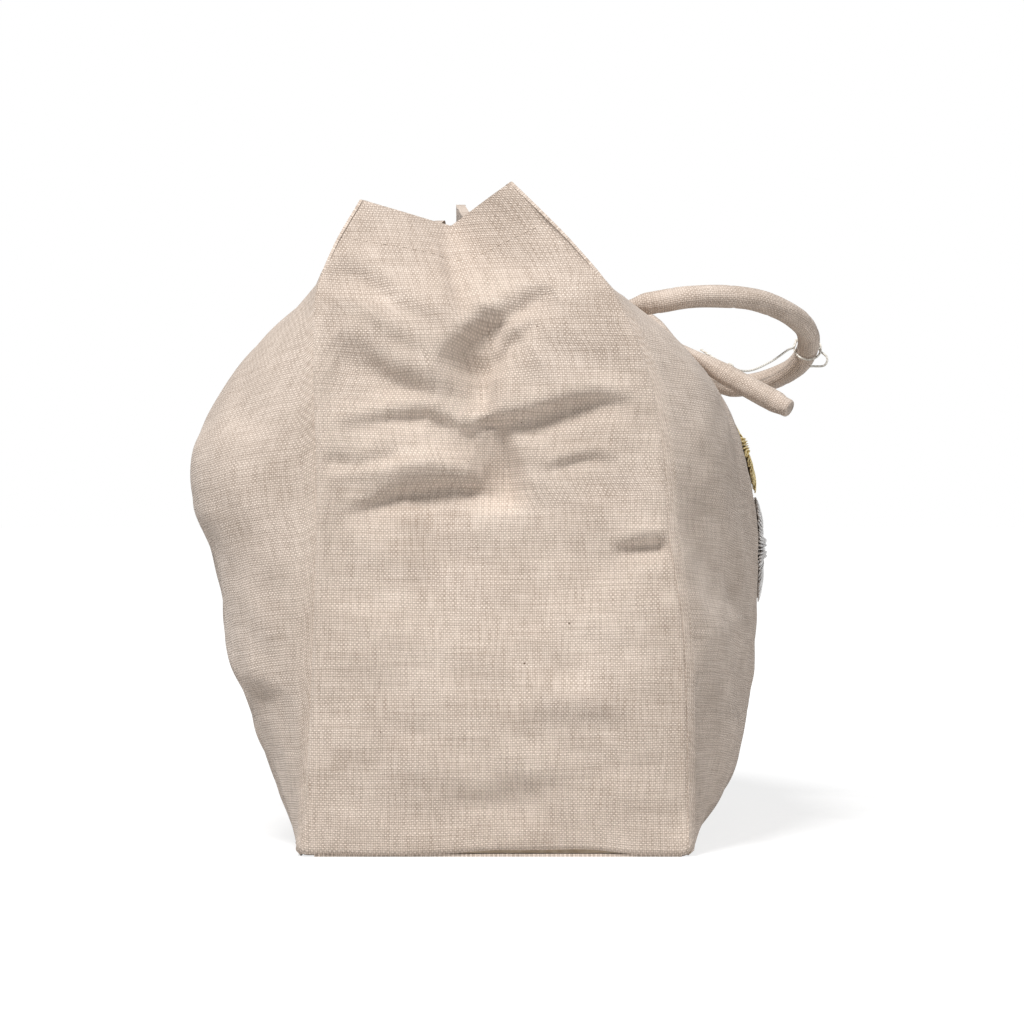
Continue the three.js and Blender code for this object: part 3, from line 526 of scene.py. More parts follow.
def path_frames(path):
    """Width and rise directions along a path. The width starts and ends along Y."""
    tangents = unit(np.gradient(path, axis=0))

    def square(vector, tangent):
        return unit(vector - tangent * np.dot(vector, tangent))

    widths = [square(np.array([0, 1.0, 0]), tangents[0])]
    for tangent in tangents[1:]:
        widths.append(square(widths[-1], tangent))
    wanted = square(np.array([0, 1.0, 0]), tangents[-1])
    twist = math.atan2(np.dot(np.cross(widths[-1], wanted), tangents[-1]), np.dot(widths[-1], wanted))
    if twist > math.pi / 2:
        twist -= math.pi
    if twist < -math.pi / 2:
        twist += math.pi
    turned = []
    for i, (width, tangent) in enumerate(zip(widths, tangents)):
        angle = twist * i / (len(path) - 1)
        turned.append(width * math.cos(angle) + np.cross(tangent, width) * math.sin(angle))
    turned = np.array(turned)
    return turned, np.cross(tangents, turned)


def tube_geometry(path, width, thickness, sides, relief=1):
    """Vertices, faces and yarn places of a closed oval tube along a path."""
    count = len(path)
    across, rise = path_frames(path)
    angle = 2 * math.pi * np.arange(sides) / sides

    def reach(size, turn):
        return (np.broadcast_to(np.asarray(size, float), (count,))[:, None] / 2 * turn * relief)[..., None]

    rings = path[:, None] + across[:, None] * reach(width, np.cos(angle))
    rings = rings + rise[:, None] * reach(thickness, np.sin(angle))
    places = np.zeros((count, sides, 3))
    places[..., 0] = angle * np.mean(width) / 2
    places[..., 1] = path_run(path)[:, None]
    faces = []
    for i in range(count - 1):
        for k in range(sides):
            a = i * sides + k
            b = i * sides + (k + 1) % sides
            faces.append((a, b, b + sides, a + sides))
    faces.append(tuple(range(sides))[::-1])
    faces.append(tuple(range((count - 1) * sides, count * sides)))
    return rings.reshape(-1, 3), faces, places.reshape(-1, 3)


def joined(name, parts):
    """One object from several closed (vertices, faces, yarn) parts."""
    faces = []
    start = 0
    for part_vertices, part_faces, _ in parts:
        faces.extend(tuple(k + start for k in f) for f in part_faces)
        start += len(part_vertices)
    return new_mesh(name, np.concatenate([p[0] for p in parts]), faces, np.concatenate([p[2] for p in parts]))


# Materials

SHEEN_ROUGHNESS = 0.5
SPECULAR = 0.25
# How finely and how far yarns wander, how sharply they cross, and their slubs across and along the cloth.
WANDER_SCALE = 0.09
WANDER = 1.1
CROSSING = 1.6
SLUB_DETAIL = 3.0
WARP_SLUB = (0.7, 0.09)
WEFT_SLUB = (0.04, 0.8)
LINEN_PITCH = (0.92, 0.98)
LINING_PITCH = (0.42, 0.42)
# Third coordinates that keep the noises of a cloth apart.
WEFT_LAYER = 7.0
SLUB_LAYER = 3.0
MOTTLE_LAYER = 11.0
NEP_LAYER = 29.0


class Nodes:
    """Short words for building the node tree of a material or a world."""

    def __init__(self, owner):
        owner.use_nodes = True
        self.owner = owner
        self.tree = owner.node_tree

    def put(self, socket, value):
        if isinstance(value, bpy.types.NodeSocket):
            self.tree.links.new(value, socket)
        else:
            socket.default_value = value

    def add(self, kind, inputs=(), **settings):
        """New node of a kind, with its settings, and its inputs by name or number."""
        node = self.tree.nodes.new("ShaderNode" + kind)
        for name, value in settings.items():
            setattr(node, name, value)
        for socket, value in dict(inputs).items():
            self.put(node.inputs[socket], value)
        return node

    def math(self, operation, *values):
        return self.add("Math", enumerate(values), operation=operation).outputs[0]

    def times(self, a, b):
        return self.math("MULTIPLY", a, b)

    def more(self, a, share, b):
        """A share of a, added to b."""
        return self.math("MULTIPLY_ADD", a, share, b)

    def yarn(self):
        """Place on a cloth or strand in millimetres: across and along."""
        place = self.add("Attribute", attribute_name="yarn").outputs["Vector"]
        return self.add("SeparateXYZ", {0: place}).outputs[:2]

    def place(self):
        return self.add("TexCoord").outputs["Object"]

    def vector(self, *values):
        return self.add("CombineXYZ", enumerate(values)).outputs[0]

    def noise(self, vector, scale, detail=2.0):
        inputs = {"Vector": vector, "Scale": scale, "Detail": detail}
        return self.add("TexNoise", inputs).outputs["Fac"]

    def blend(self, tone, tones, first, second):
        """Colour that goes from the first to the second between two tones."""
        share = self.add("MapRange", {"Value": tone, "From Min": tones[0], "From Max": tones[1]})
        node = self.add("Mix", {"Factor": share.outputs[0]}, data_type="RGBA")
        colours = [s for s in node.inputs if s.type == "RGBA"]
        self.put(colours[0], first)
        self.put(colours[1], second)
        return [s for s in node.outputs if s.type == "RGBA"][0]

    def finish(self, colour, height, bump, roughness, metallic=0.0, sheen=0.0):
        """Fills in the shader. The bump is a distance and a strength."""
        relief = self.add("Bump", {"Height": height, "Distance": bump[0], "Strength": bump[1]})
        values = {"Base Color": colour, "Normal": relief.outputs[0], "Roughness": roughness,
                  "Metallic": metallic, "Sheen Weight": sheen, "Sheen Roughness": SHEEN_ROUGHNESS,
                  "Specular IOR Level": SPECULAR}
        shader = self.tree.nodes["Principled BSDF"]
        for socket, value in values.items():
            self.put(shader.inputs[socket], value)
        return self.owner


def new_nodes(name):
    return Nodes(bpy.data.materials.new(name))


def weave(nodes, u, v, pitch):
    """Height of a plain weave with uneven yarns, and how far warp or weft lies on top, from 0 to 1."""
    drift_u = nodes.more(nodes.noise(nodes.vector(u, v), WANDER_SCALE), WANDER, u)
    drift_v = nodes.more(nodes.noise(nodes.vector(v, u, WEFT_LAYER), WANDER_SCALE), WANDER, v)
    wave_u = nodes.math("SINE", nodes.times(drift_u, math.pi / pitch[0]))
    wave_v = nodes.math("SINE", nodes.times(drift_v, math.pi / pitch[1]))
    parity = nodes.times(nodes.times(wave_u, wave_v), CROSSING)
    warp_over = nodes.more(parity, 0.5, 0.5)
    warp_over = nodes.math("MINIMUM", nodes.math("MAXIMUM", warp_over, 0.0), 1.0)
    weft_over = nodes.math("SUBTRACT", 1.0, warp_over)
    top = nodes.times(nodes.math("ABSOLUTE", wave_u), warp_over)
    under = nodes.times(nodes.math("ABSOLUTE", wave_v), weft_over)
    return nodes.math("ADD", top, under), warp_over, weft_over


def yarn_slubs(nodes, u, v, warp_over, weft_over):
    """Thick and thin places of the yarns that lie on top."""
    places = nodes.vector(nodes.times(u, WARP_SLUB[0]), nodes.times(v, WARP_SLUB[1]))
    warp = nodes.noise(places, scale=1.0, detail=SLUB_DETAIL)
    places = nodes.vector(nodes.times(u, WEFT_SLUB[0]), nodes.times(v, WEFT_SLUB[1]), SLUB_LAYER)
    weft = nodes.noise(places, scale=1.0, detail=SLUB_DETAIL)
    return nodes.math("ADD", nodes.times(warp, warp_over), nodes.times(weft, weft_over))


# The tones that follow the height of a weave or the plies of a twist are painted shade, darker in the gaps
# and grooves between yarns.
LINEN_LOOK = SimpleNamespace(
    slub_tone=1.7, weave_shade_tone=0.8, weft_tone=0.4, mottle_tone=0.8, tones=(1.18, 2.66), mottle=(0.035, 4.0),
    nep=(0.42, 1.0), neps=(0.79, 0.83), slub_bump=0.7, weft_bump=0.25)
LINING_LOOK = SimpleNamespace(clouds=(0.05, 3.0), cloud_tone=0.8, weave_shade_tone=0.3, tones=(0.3, 0.9))
RAFFIA_LOOK = SimpleNamespace(streak=(2.2, 0.12), patches=140.0, patch_tone=0.7, tones=(0.55, 1.15))
TWIST_LOOK = SimpleNamespace(slant=2.0, fuzz=900.0, fuzz_tone=0.6, ply_shade_tone=0.7, tones=(0.2, 1.0))
BOARD_LOOK = SimpleNamespace(flecks=(420.0, 4.0), clouds=(30.0, 3.0), cloud_tone=0.6, tones=(0.5, 1.1))
METAL_LOOK = SimpleNamespace(marks=(1800.0, 3.0), clouds=160.0, tones=(0.35, 0.65))


def linen_material(name, light, dark, nep_colour):
    """Coarse undyed linen: plain weave with thick and thin yarns, mottling, painted shade in the gaps of the
    weave and a few dark neps.
    """
    look = LINEN_LOOK
    nodes = new_nodes(name)
    u, v = nodes.yarn()
    height, warp_over, weft_over = weave(nodes, u, v, LINEN_PITCH)
    slub = yarn_slubs(nodes, u, v, warp_over, weft_over)
    # Colour follows the height of the weave: lighter on the crowns of the yarns, darker in the gaps between
    # them, as painted shade.
    tone = nodes.more(slub, look.slub_tone, nodes.times(height, look.weave_shade_tone))
    tone = nodes.more(weft_over, look.weft_tone, tone)
    mottle = nodes.noise(nodes.vector(u, v, MOTTLE_LAYER), *look.mottle)
    tone = nodes.more(mottle, look.mottle_tone, tone)
    colour = nodes.blend(tone, look.tones, dark, light)
    nep = nodes.noise(nodes.vector(u, v, NEP_LAYER), *look.nep)
    colour = nodes.blend(nep, look.neps, colour, nep_colour)
    thick = nodes.more(weft_over, look.weft_bump, nodes.more(slub, look.slub_bump, height))
    return nodes.finish(colour, thick, bump=(0.0003, 0.8), roughness=0.92, sheen=0.18)


def lining_material(name, light, dark):
    """Smooth cotton lining, finer than the linen, with painted shade in the gaps of its weave."""
    look = LINING_LOOK
    nodes = new_nodes(name)
    u, v = nodes.yarn()
    height = weave(nodes, u, v, LINING_PITCH)[0]
    clouds = nodes.noise(nodes.vector(u, v), *look.clouds)
    # Colour follows the height of the weave: lighter on the crowns of the yarns, darker in the gaps between
    # them, as painted shade.
    tone = nodes.more(clouds, look.cloud_tone, nodes.times(height, look.weave_shade_tone))
    colour = nodes.blend(tone, look.tones, dark, light)
    return nodes.finish(colour, height, bump=(0.00012, 0.6), roughness=0.85, sheen=0.1)


def raffia_material(name, light, dark):
    """Raffia: streaks along the strand and uneven colour."""
    look = RAFFIA_LOOK
    nodes = new_nodes(name)
    u, v = nodes.yarn()
    places = nodes.vector(nodes.times(u, look.streak[0]), nodes.times(v, look.streak[1]))
    lines = nodes.noise(places, scale=1.0, detail=SLUB_DETAIL)
    tone = nodes.more(nodes.noise(nodes.place(), look.patches), look.patch_tone, lines)
    colour = nodes.blend(tone, look.tones, dark, light)
    return nodes.finish(colour, lines, bump=(0.0002, 0.7), roughness=0.8, sheen=0.1)


def twist_material(name, light, dark, pitch):
    """Twisted thread: slanting plies round the strand, with painted shade in the grooves between them."""
    look = TWIST_LOOK
    nodes = new_nodes(name)
    u, v = nodes.yarn()
    slant = nodes.math("ADD", nodes.times(u, look.slant), nodes.times(v, 2 * math.pi / pitch))
    plies = nodes.more(nodes.math("SINE", slant), 0.5, 0.5)
    fuzz = nodes.noise(nodes.place(), look.fuzz)
    # Colour follows the plies: lighter on their crests, darker in the grooves between them, as painted shade.
    tone = nodes.more(fuzz, look.fuzz_tone, nodes.times(plies, look.ply_shade_tone))
    colour = nodes.blend(tone, look.tones, dark, light)
    return nodes.finish(colour, plies, bump=(0.0002, 0.8), roughness=0.85, sheen=0.1)


def board_material(name, light, dark):
    """Raw pressed board with flecks of fibre."""
    look = BOARD_LOOK
    nodes = new_nodes(name)
    flecks = nodes.noise(nodes.place(), *look.flecks)
    tone = nodes.more(nodes.noise(nodes.place(), *look.clouds), look.cloud_tone, flecks)
    colour = nodes.blend(tone, look.tones, dark, light)
    return nodes.finish(colour, flecks, bump=(0.0003, 0.5), roughness=0.9)


def metal_material(name, light, dark):
    """Satin nickel with fine handling marks."""
    look = METAL_LOOK
    nodes = new_nodes(name)
    marks = nodes.noise(nodes.place(), *look.marks)
    colour = nodes.blend(nodes.noise(nodes.place(), look.clouds), look.tones, dark, light)
    return nodes.finish(colour, marks, bump=(0.00008, 0.4), roughness=0.34, metallic=1.0)


SLOT_MATERIALS = {
    "linen": linen_material("linen", (0.83, 0.71, 0.615, 1), (0.3, 0.225, 0.17, 1), (0.16, 0.11, 0.08, 1)),
    "lining": lining_material("lining", (0.8, 0.74, 0.66, 1), (0.66, 0.58, 0.49, 1)),
    "thread": twist_material("thread", (0.8, 0.69, 0.59, 1), (0.58, 0.48, 0.4, 1), pitch=1.6),
    "string": twist_material("string", (0.88, 0.85, 0.79, 1), (0.6, 0.56, 0.49, 1), pitch=2.2),
    "cotton_cord": twist_material("cotton_cord", (0.82, 0.78, 0.7, 1), (0.6, 0.55, 0.47, 1), pitch=6.0),
    "yellow_raffia": raffia_material("yellow_raffia", (0.97, 0.85, 0.52, 1), (0.92, 0.75, 0.38, 1)),
    "white_raffia": raffia_material("white_raffia", (0.98, 0.97, 0.96, 1), (0.93, 0.91, 0.9, 1)),
    "board": board_material("board", (0.52, 0.43, 0.32, 1), (0.33, 0.25, 0.17, 1)),
    "snap_metal": metal_material("snap_metal", (0.66, 0.65, 0.62, 1), (0.52, 0.51, 0.48, 1)),
}


def dress(piece, slot, *nodes, body=None):
    """Gives a piece the material named by a slot, hides the solids that it stands for, and hangs it on the
    body that it rides on.
    """
    piece.data.materials.clear()
    piece.data.materials.append(SLOT_MATERIALS[slot])
    if nodes:
        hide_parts(*nodes)
    if body:
        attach(piece, body)
    return piece


# Camera

CLIP_END = 100


def make_camera():
    camera = bpy.data.cameras.new("camera")
    camera.sensor_width = SENSOR_WIDTH
    camera.lens = FOCAL_PIXELS / PHOTO_PIXELS * SENSOR_WIDTH
    camera.clip_end = CLIP_END
    view = bpy.data.objects.new("camera", camera)
    view.location = [c * MM for c in CAMERA_PLACE]
    view.rotation_euler = (math.pi / 2, 0, 0)
    bpy.context.scene.collection.objects.link(view)
    bpy.context.scene.camera = view


# Tag string

STRING_SIDES = 8
STRING_STEPS = 360
STEPS_PER_TURN = 12
WINDING_GRIP_STEPS = 401
KNOT_STEPS = 40
KNOT_TURN = 2 * math.pi * 0.97
KNOT_TILT = 0.5
KNOT_LENGTH = 1.6
KNOT_TIGHTENING = 0.2


def joint_place(name):
    joint = next(j for j in frame["joints"] if j["name"] == name)
    return np.array(joint["pos_m"]) / MM


def front_grip_path(count):
    fold = joint_place("front_handle_swing")
    points = [(fold[0] + out, y, fold[2] + up) for out, y, up in FRONT_GRIP]
    return smooth_path(points, count)


def string_points():
    """Route of the string: to the handle, round its tube and out to the loose end."""
    grip = front_grip_path(WINDING_GRIP_STEPS)
    middle = int(STRING_PLACE * (len(grip) - 1))
    centre = grip[middle]
    along = unit(grip[middle + 1] - grip[middle - 1])
    out = unit(np.array([1.0, 0, 0]) - along * along[0])
    up = np.cross(out, along)
    radius = (HANDLE_DIAMETER + STRING_DIAMETER) / 2 + STRING_WIND_GAP
    steps = int(STEPS_PER_TURN * STRING_TURNS)
    winding = []
    for k in range(steps + 1):
        share = k / steps
        angle = math.pi * (1 - 2 * STRING_TURNS * share)
        slide = STRING_PITCH * STRING_TURNS * (share - 0.5)
        winding.append(centre + radius * (out * math.cos(angle) + up * math.sin(angle)) + along * slide)
    return np.array([*STRING_TO_HANDLE, *winding, *STRING_FROM_HANDLE], float)


def make_string():
    path = smooth_path(string_points(), STRING_STEPS)
    twine = tube_geometry(path, STRING_DIAMETER, STRING_DIAMETER, STRING_SIDES)
    string = dress(joined("tag_string_twine", [twine]), "string", "tag_string", body="front_handle")
    knot = make_knot(np.array(STRING_TO_HANDLE[KNOT_POINT], float), path)


def make_knot(centre, path):
    """Overhand knot: two tight turns of string crossing each other."""
    nearest = int(np.argmin(np.linalg.norm(path - centre, axis=1)))
    along = unit(path[nearest + 1] - path[nearest - 1])
    side = unit(np.cross(along, [0, 0, 1.0]))
    up = np.cross(side, along)
    reach = KNOT_DIAMETER / 2 - KNOT_TIGHTENING
    angle = np.linspace(0, KNOT_TURN, KNOT_STEPS)[:, None]
    turns = []
    for tilt in (KNOT_TILT, -KNOT_TILT):
        ring = centre + reach * (side * np.cos(angle) + up * np.sin(angle))
        ring = ring + along * tilt * KNOT_LENGTH * np.cos(angle + tilt)
        turns.append(tube_geometry(ring, STRING_DIAMETER, STRING_DIAMETER, STRING_SIDES))
    return dress(joined("tag_string_knot", turns), "string", body="front_handle")


# Panels

PANEL_COLUMNS = 150
LOWER_ROWS = 104
BAND_ROWS = 40
SEAM_ROLL = 2.2
BASE_ROLL = 2.4
CORNER_RADIUS = 5
# The front seams sink in above the base and below the mouth, the panel's edge less than the gusset's.
SEAM_FALL = 4.8
SEAM_FALL_WIDTH = 26
SEAM_FALL_START = 20
SEAM_FALL_END_SHARES = (0.62, 0.8)
PANEL_FALL_SHARE = 0.62
PANEL_FALL_FROM = 0.8
MOUTH_EASE = 0.15
MOUTH_EASE_SHARES = (0.76, 0.88)
PANEL_TILT = 0.5
EDGE_WAVE = 0.8
EDGE_WAVES = 9
PANEL_WRINKLES = {"count": 26, "low": (-140, 25), "high": (140, 190), "length": (25, 80), "width": (4, 9),
                  "depth": (0.3, 0.8)}
PANEL_UNEVENNESS = [(0.8, 70), (0.3, 26)]
# Relief dies out towards the seams and the base, on the band and where the snap presses it flat.
PANEL_SEAM_CALM = 14
PANEL_BASE_CALM = 20
BAND_RELIEF = 0.35
BAND_RELIEF_PLACE = (-12, 8)
PRESSED_SHARE = 0.9
PRESSED_HALF_WIDTH = 26
PRESSED_ABOVE_FOLD = 10
PRESSED_BELOW_EDGE = 12
BAND_HEM_PLACE = (-4, 12)
BAND_HEM_ENDS = (0.8, 0.97)
LINING_FIRST_ROW = 3
LINING_LAST_ROW = LOWER_ROWS + 1
LINING_INSET = 5
# Two bodies, and from where to where between them, in metres. No piece is bent between them.
BLENDS = {
    "front": ("bag", "front_mouth", (0, 0, 0.223), (0, 0, 0.277)),
    "back": ("bag", "back_mouth", (0, 0, 0.229), (0, 0, 0.269)),
}


def roll(distance, radius):
    """How far an edge turns in, at a distance from it."""
    t = np.clip(1 - distance / radius, 0, 1)
    return radius * (1 - np.sqrt(np.maximum(0, 1 - t * t)))


def mouth_ease(share):
    """Seams roll in less near the mouth, where the two hems are sewn edge to edge."""
    return lerp(1, MOUTH_EASE, smoothstep(share, *MOUTH_EASE_SHARES))


def seam_fall(z):
    """How far the front seams sink in between the base and the mouth."""
    ending = smoothstep(z / FRONT_HEIGHT, *SEAM_FALL_END_SHARES)
    return SEAM_FALL * smoothstep(z, 0, SEAM_FALL_START) * (1 - ending)


def run_across(points):
    """Distance along the cloth from the middle of each row of a grid."""
    steps = np.linalg.norm(np.diff(points, axis=1), axis=2)
    run = np.concatenate([np.zeros((len(points), 1)), np.cumsum(steps, axis=1)], axis=1)
    middle = points.shape[1] // 2
    return run - run[:, middle:middle + 1]


def bend(piece, blend):
    a, b, start, end = blend
    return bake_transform(piece)


def panel_grid(side):
    """Outer face of a side, with its folds, and the yarn places on it."""
    v = np.linspace(-1, 1, PANEL_COLUMNS)
    lower = np.linspace(0, side.fold, LOWER_ROWS, endpoint=False)[:, None] + 0 * v
    share = np.linspace(0, 1, BAND_ROWS)[:, None]
    edge = mouth_edge(side, v) + EDGE_WAVE * np.sin(EDGE_WAVES * v + side.seed) * (1 - v * v)
    z = np.concatenate([lower, lerp(side.fold, edge, share)])
    v = np.broadcast_to(v, z.shape)
    y = v * half_length(np.minimum(1, z / side.height))
    points = side_point(side, y, z)
    if side is FRONT:
        near_seam = smoothstep(np.abs(v), PANEL_FALL_FROM, 1)
        points[..., 1] -= PANEL_FALL_SHARE * np.sign(v) * seam_fall(z) * near_seam
    outward = (side.sign, 0, PANEL_TILT)
    normals = grid_normals(points, outward)
    relief = fold_relief(y, z, side.folds.values())
    relief += small_relief(y, z, side.seed, PANEL_WRINKLES, PANEL_UNEVENNESS)
    seam = (1 - np.abs(v)) * BAG_LENGTH / 2
    pressed = smoothstep(z, side.fold + PRESSED_ABOVE_FOLD, side.height - PRESSED_BELOW_EDGE)
    pressed = pressed * np.exp(-(y / PRESSED_HALF_WIDTH) ** 2)
    on_band = smoothstep(z, *(side.fold + off for off in BAND_RELIEF_PLACE))
    edges = smoothstep(seam, 0, PANEL_SEAM_CALM) * smoothstep(z, 0, PANEL_BASE_CALM)
    relief *= edges * (1 - PRESSED_SHARE * pressed) * lerp(1, BAND_RELIEF, on_band)
    turn = roll(seam, SEAM_ROLL) * mouth_ease(z / side.height) + roll(z, BASE_ROLL)
    points = points + normals * (relief - turn)[..., None]
    points[..., 2] = np.maximum(points[..., 2], 0)
    points[..., 2] += roll(seam, CORNER_RADIUS) * np.exp(-z / SPREAD_HEIGHT)
    steps = np.linalg.norm(np.diff(points, axis=0), axis=2)
    up = np.concatenate([np.zeros((1, PANEL_COLUMNS)), np.cumsum(steps, axis=0)])
    return SimpleNamespace(points=points, normals=grid_normals(points, outward), v=v, z=z,
                           yarn=np.stack([run_across(points), up], axis=-1))


def make_panel(side):
    """Panel with its turned mouth hem: one sheet, thicker where band and facing lie together."""
    grid = panel_grid(side)
    hemmed = smoothstep(grid.z, *(side.fold + off for off in BAND_HEM_PLACE))
    hemmed = hemmed * (1 - smoothstep(np.abs(grid.v), *BAND_HEM_ENDS))
    thickness = lerp(CLOTH, 2 * CLOTH + BAND_SPACE, hemmed)
    panel = shell(f"{side.name}_panel_cloth", grid.points, grid.normals, 0, thickness, grid.yarn)
    dress(panel, "linen", f"{side.name}_panel", f"{side.name}_mouth_band", f"{side.name}_facing")
    bend(panel, BLENDS[side.name])
    make_panel_lining(side, grid)
    return grid


def make_panel_lining(side, grid):
    cut = (slice(LINING_FIRST_ROW, LINING_LAST_ROW + 1), slice(LINING_INSET, PANEL_COLUMNS - LINING_INSET))
    lining = shell(f"{side.name}_lining_cloth", grid.points[cut], grid.normals[cut], CLOTH + CLEARANCE,
                   LINING, grid.yarn[cut])
    dress(lining, "lining", f"{side.name}_lining")
    bend(lining, BLENDS[side.name])


# Gussets

GUSSET_ROWS = 190
GUSSET_COLUMNS = 129
GUSSET_MIDDLE = GUSSET_COLUMNS // 2
GUSSET_HALF_WIDTH = 75
GUSSET_WRINKLES = {"count": 16, "low": (-60, 20), "high": (60, 190), "length": (20, 60), "width": (4, 8),
                   "depth": (0.2, 0.8)}
GUSSET_UNEVENNESS = [(0.8, 60), (0.3, 22)]
GUSSET_SEAM_CALM = 7
GUSSET_BASE_CALM = 14
GUSSET_TOP_CALM = 0.5
GUSSET_TOP_SHARE = 0.93
# Raised seam allowance beside the front seam, up to where it fades.
WELT_HEIGHT = 0.7
WELT_PLACE = 2.6
WELT_HALF_WIDTH = 1.4
WELT_FADE = (80, 120)
# The lower edge stands a little clear of the floor.
BASE_LIFT = 2.2
BASE_LIFT_PLACE = 18
BASE_LIFT_HALF_WIDTH = 30
BASE_LIFT_POWER = 4
BASE_WAVE = 0.3
BASE_WAVE_LENGTH = 9
HEM_START_SHARE = 1 - HEM_DEPTH / CREASE_HEIGHT
HEM_STEP_SHARE = 0.006
HEM_ENDS = (0.86, 0.95)
HEM_STITCH_INSET = 2
GUSSET_LINING_FIRST_ROW = 4
# Two bodies, and from where to where between them, in metres. No half is bent between them.
GUSSET_BLENDS = {
    "front": ("bag", "front_mouth", (0, 0, 0.25), (0.012, 0, 0.274)),
    "back": ("bag", "back_mouth", (0, 0, 0.271), (-0.0102, 0, 0.2914)),
}


def gusset_grid(end, seed):
    """Outer face of a gusset with its folded top, creases and seam edges."""
    u = np.linspace(-1, 1, GUSSET_COLUMNS)
    share = np.linspace(0, 1, GUSSET_ROWS)[:, None]
    u, share = np.broadcast_arrays(u, share)
    points = gusset_point(end, u, share)
    normals = grid_normals(points, (0, end, 0))
    across, down = photo_place(points * np.array([1, -end, 1]))
    x, z = points[..., 0], points[..., 2]
    relief = fold_relief(across, down, GUSSET_FOLDS.values())
    relief += small_relief(x, z, seed, GUSSET_WRINKLES, GUSSET_UNEVENNESS)
    relief += curve_through(SLOUCH)(down) * (1 - u * u)
    seam = (1 - np.abs(u)) * GUSSET_HALF_WIDTH
    relief *= smoothstep(seam, 0, GUSSET_SEAM_CALM) * smoothstep(z, 0, GUSSET_BASE_CALM)
    relief *= 1 - GUSSET_TOP_CALM * smoothstep(share, GUSSET_TOP_SHARE, 1)
    welt = WELT_HEIGHT * np.exp(-((seam - WELT_PLACE) / WELT_HALF_WIDTH) ** 2)
    welt *= 1 - smoothstep(z, *WELT_FADE)
    welt -= seam_fall(z) * np.clip(1 - seam / SEAM_FALL_WIDTH, 0, 1) ** 2
    turn = roll(seam, SEAM_ROLL) * mouth_ease(share) + roll(z, BASE_ROLL)
    lift = BASE_LIFT * np.exp(-((x - BASE_LIFT_PLACE) / BASE_LIFT_HALF_WIDTH) ** BASE_LIFT_POWER)
    lift += BASE_WAVE * (1 + np.sin(x / BASE_WAVE_LENGTH + seed)) + roll(seam, CORNER_RADIUS)
    lift *= np.exp(-z / SPREAD_HEIGHT)
    points = points + normals * (relief + welt * (u > 0) - turn)[..., None]
    points[..., 2] = np.maximum(points[..., 2], 0) + lift
    return SimpleNamespace(points=points, normals=grid_normals(points, (0, end, 0)), u=u, share=share,
                           yarn=np.stack([run_across(points), z], axis=-1))


def make_gusset(end, name, seed):
    """Gusset in two halves that meet at the crease, each with its turned hem and its lining."""
    grid = gusset_grid(end, seed)
    hem = smoothstep(grid.share, HEM_START_SHARE - HEM_STEP_SHARE, HEM_START_SHARE)
    hem = hem * (1 - smoothstep(np.abs(grid.u), *HEM_ENDS))
    thickness = CLOTH + hem * (CLOTH + CLEARANCE)
    lining_rows = slice(GUSSET_LINING_FIRST_ROW, int(GUSSET_ROWS * HEM_START_SHARE) - 1)
    halves = {"back": (0, GUSSET_MIDDLE + 1, LINING_INSET, 0),
              "front": (GUSSET_MIDDLE, GUSSET_COLUMNS, 0, LINING_INSET)}
    for side, (first, stop, first_inset, stop_inset) in halves.items():
        cut = (slice(None), slice(first, stop))
        cloth = shell(f"{name}_gusset_{side}_half", grid.points[cut], grid.normals[cut], 0, thickness[cut],
                      grid.yarn[cut])
        dress(cloth, "linen", f"{name}_gusset", f"{name}_gusset_hem")
        bend(cloth, GUSSET_BLENDS[side])
        cut = (lining_rows, slice(first + first_inset, stop - stop_inset))
        lining = shell(f"{name}_gusset_lining_{side}_half", grid.points[cut], grid.normals[cut],
                       CLOTH + CLEARANCE, LINING, grid.yarn[cut])
        dress(lining, "lining", f"{name}_gusset_lining")
        bend(lining, GUSSET_BLENDS[side])
    return grid


# Base and pocket

BASE_GRID = (60, 110)
BASE_LINING_TOP = 4.4
BASE_UNEVENNESS = 0.35
BASE_UNEVEN_LENGTH = 60
BASE_SEED = 5
POCKET_GRID = (70, 40)
POCKET_GAPE = 2.2
POCKET_GAPE_HEIGHT = 26
POCKET_OFF = 1.6
POCKET_THICKNESS = 0.8


def make_base():
    """Base cloth under the board, and the lining over it, which is slightly uneven."""
    half_width = BASE_WIDTH / 2 - CORNER_RADIUS
    half = BAG_LENGTH / 2 - CLOTH
    x = np.linspace(-half_width, half_width, BASE_GRID[0])
    x, y = np.meshgrid(x, np.linspace(-half, half, BASE_GRID[1]))
    waves = BASE_UNEVENNESS * soft_noise(x, y, BASE_SEED, BASE_UNEVEN_LENGTH)
    layers = [("base_cloth", "base_panel", "linen", CLOTH + 0 * x, CLOTH),
              ("base_lining_cloth", "base_lining", "lining", BASE_LINING_TOP + waves, LINING)]
    for name, node, slot, top, thickness in layers:
        points = np.stack([x, y, top], axis=-1)
        cloth = shell(name, points, grid_normals(points, (0, 0, 1)), 0, thickness, np.stack([x, y], axis=-1))
        dress(cloth, slot, node, body="bag")


def make_pocket():
    """Slip pocket on the back lining: a flat patch whose top edge stands a little open."""
    low, high = (np.array(c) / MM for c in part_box("slip_pocket"))
    y = np.linspace(low[1], high[1], POCKET_GRID[0])
    z = np.linspace(low[2], high[2], POCKET_GRID[1])[:, None]
    y, z = np.broadcast_arrays(y, z)
    points = side_point(BACK, y, z)
    opening = smoothstep(z, high[2] - POCKET_GAPE_HEIGHT, high[2])
    gape = POCKET_GAPE * opening * np.cos(np.pi * y / (2 * high[1]))
    depth = CLOTH + LINING + 2 * CLEARANCE + POCKET_OFF + gape
    pocket = shell("slip_pocket_cloth", points, grid_normals(points, (-1, 0, 0)), depth, POCKET_THICKNESS,
                   np.stack([y, z], axis=-1))
    dress(pocket, "lining", "slip_pocket", body="bag")


# Handles

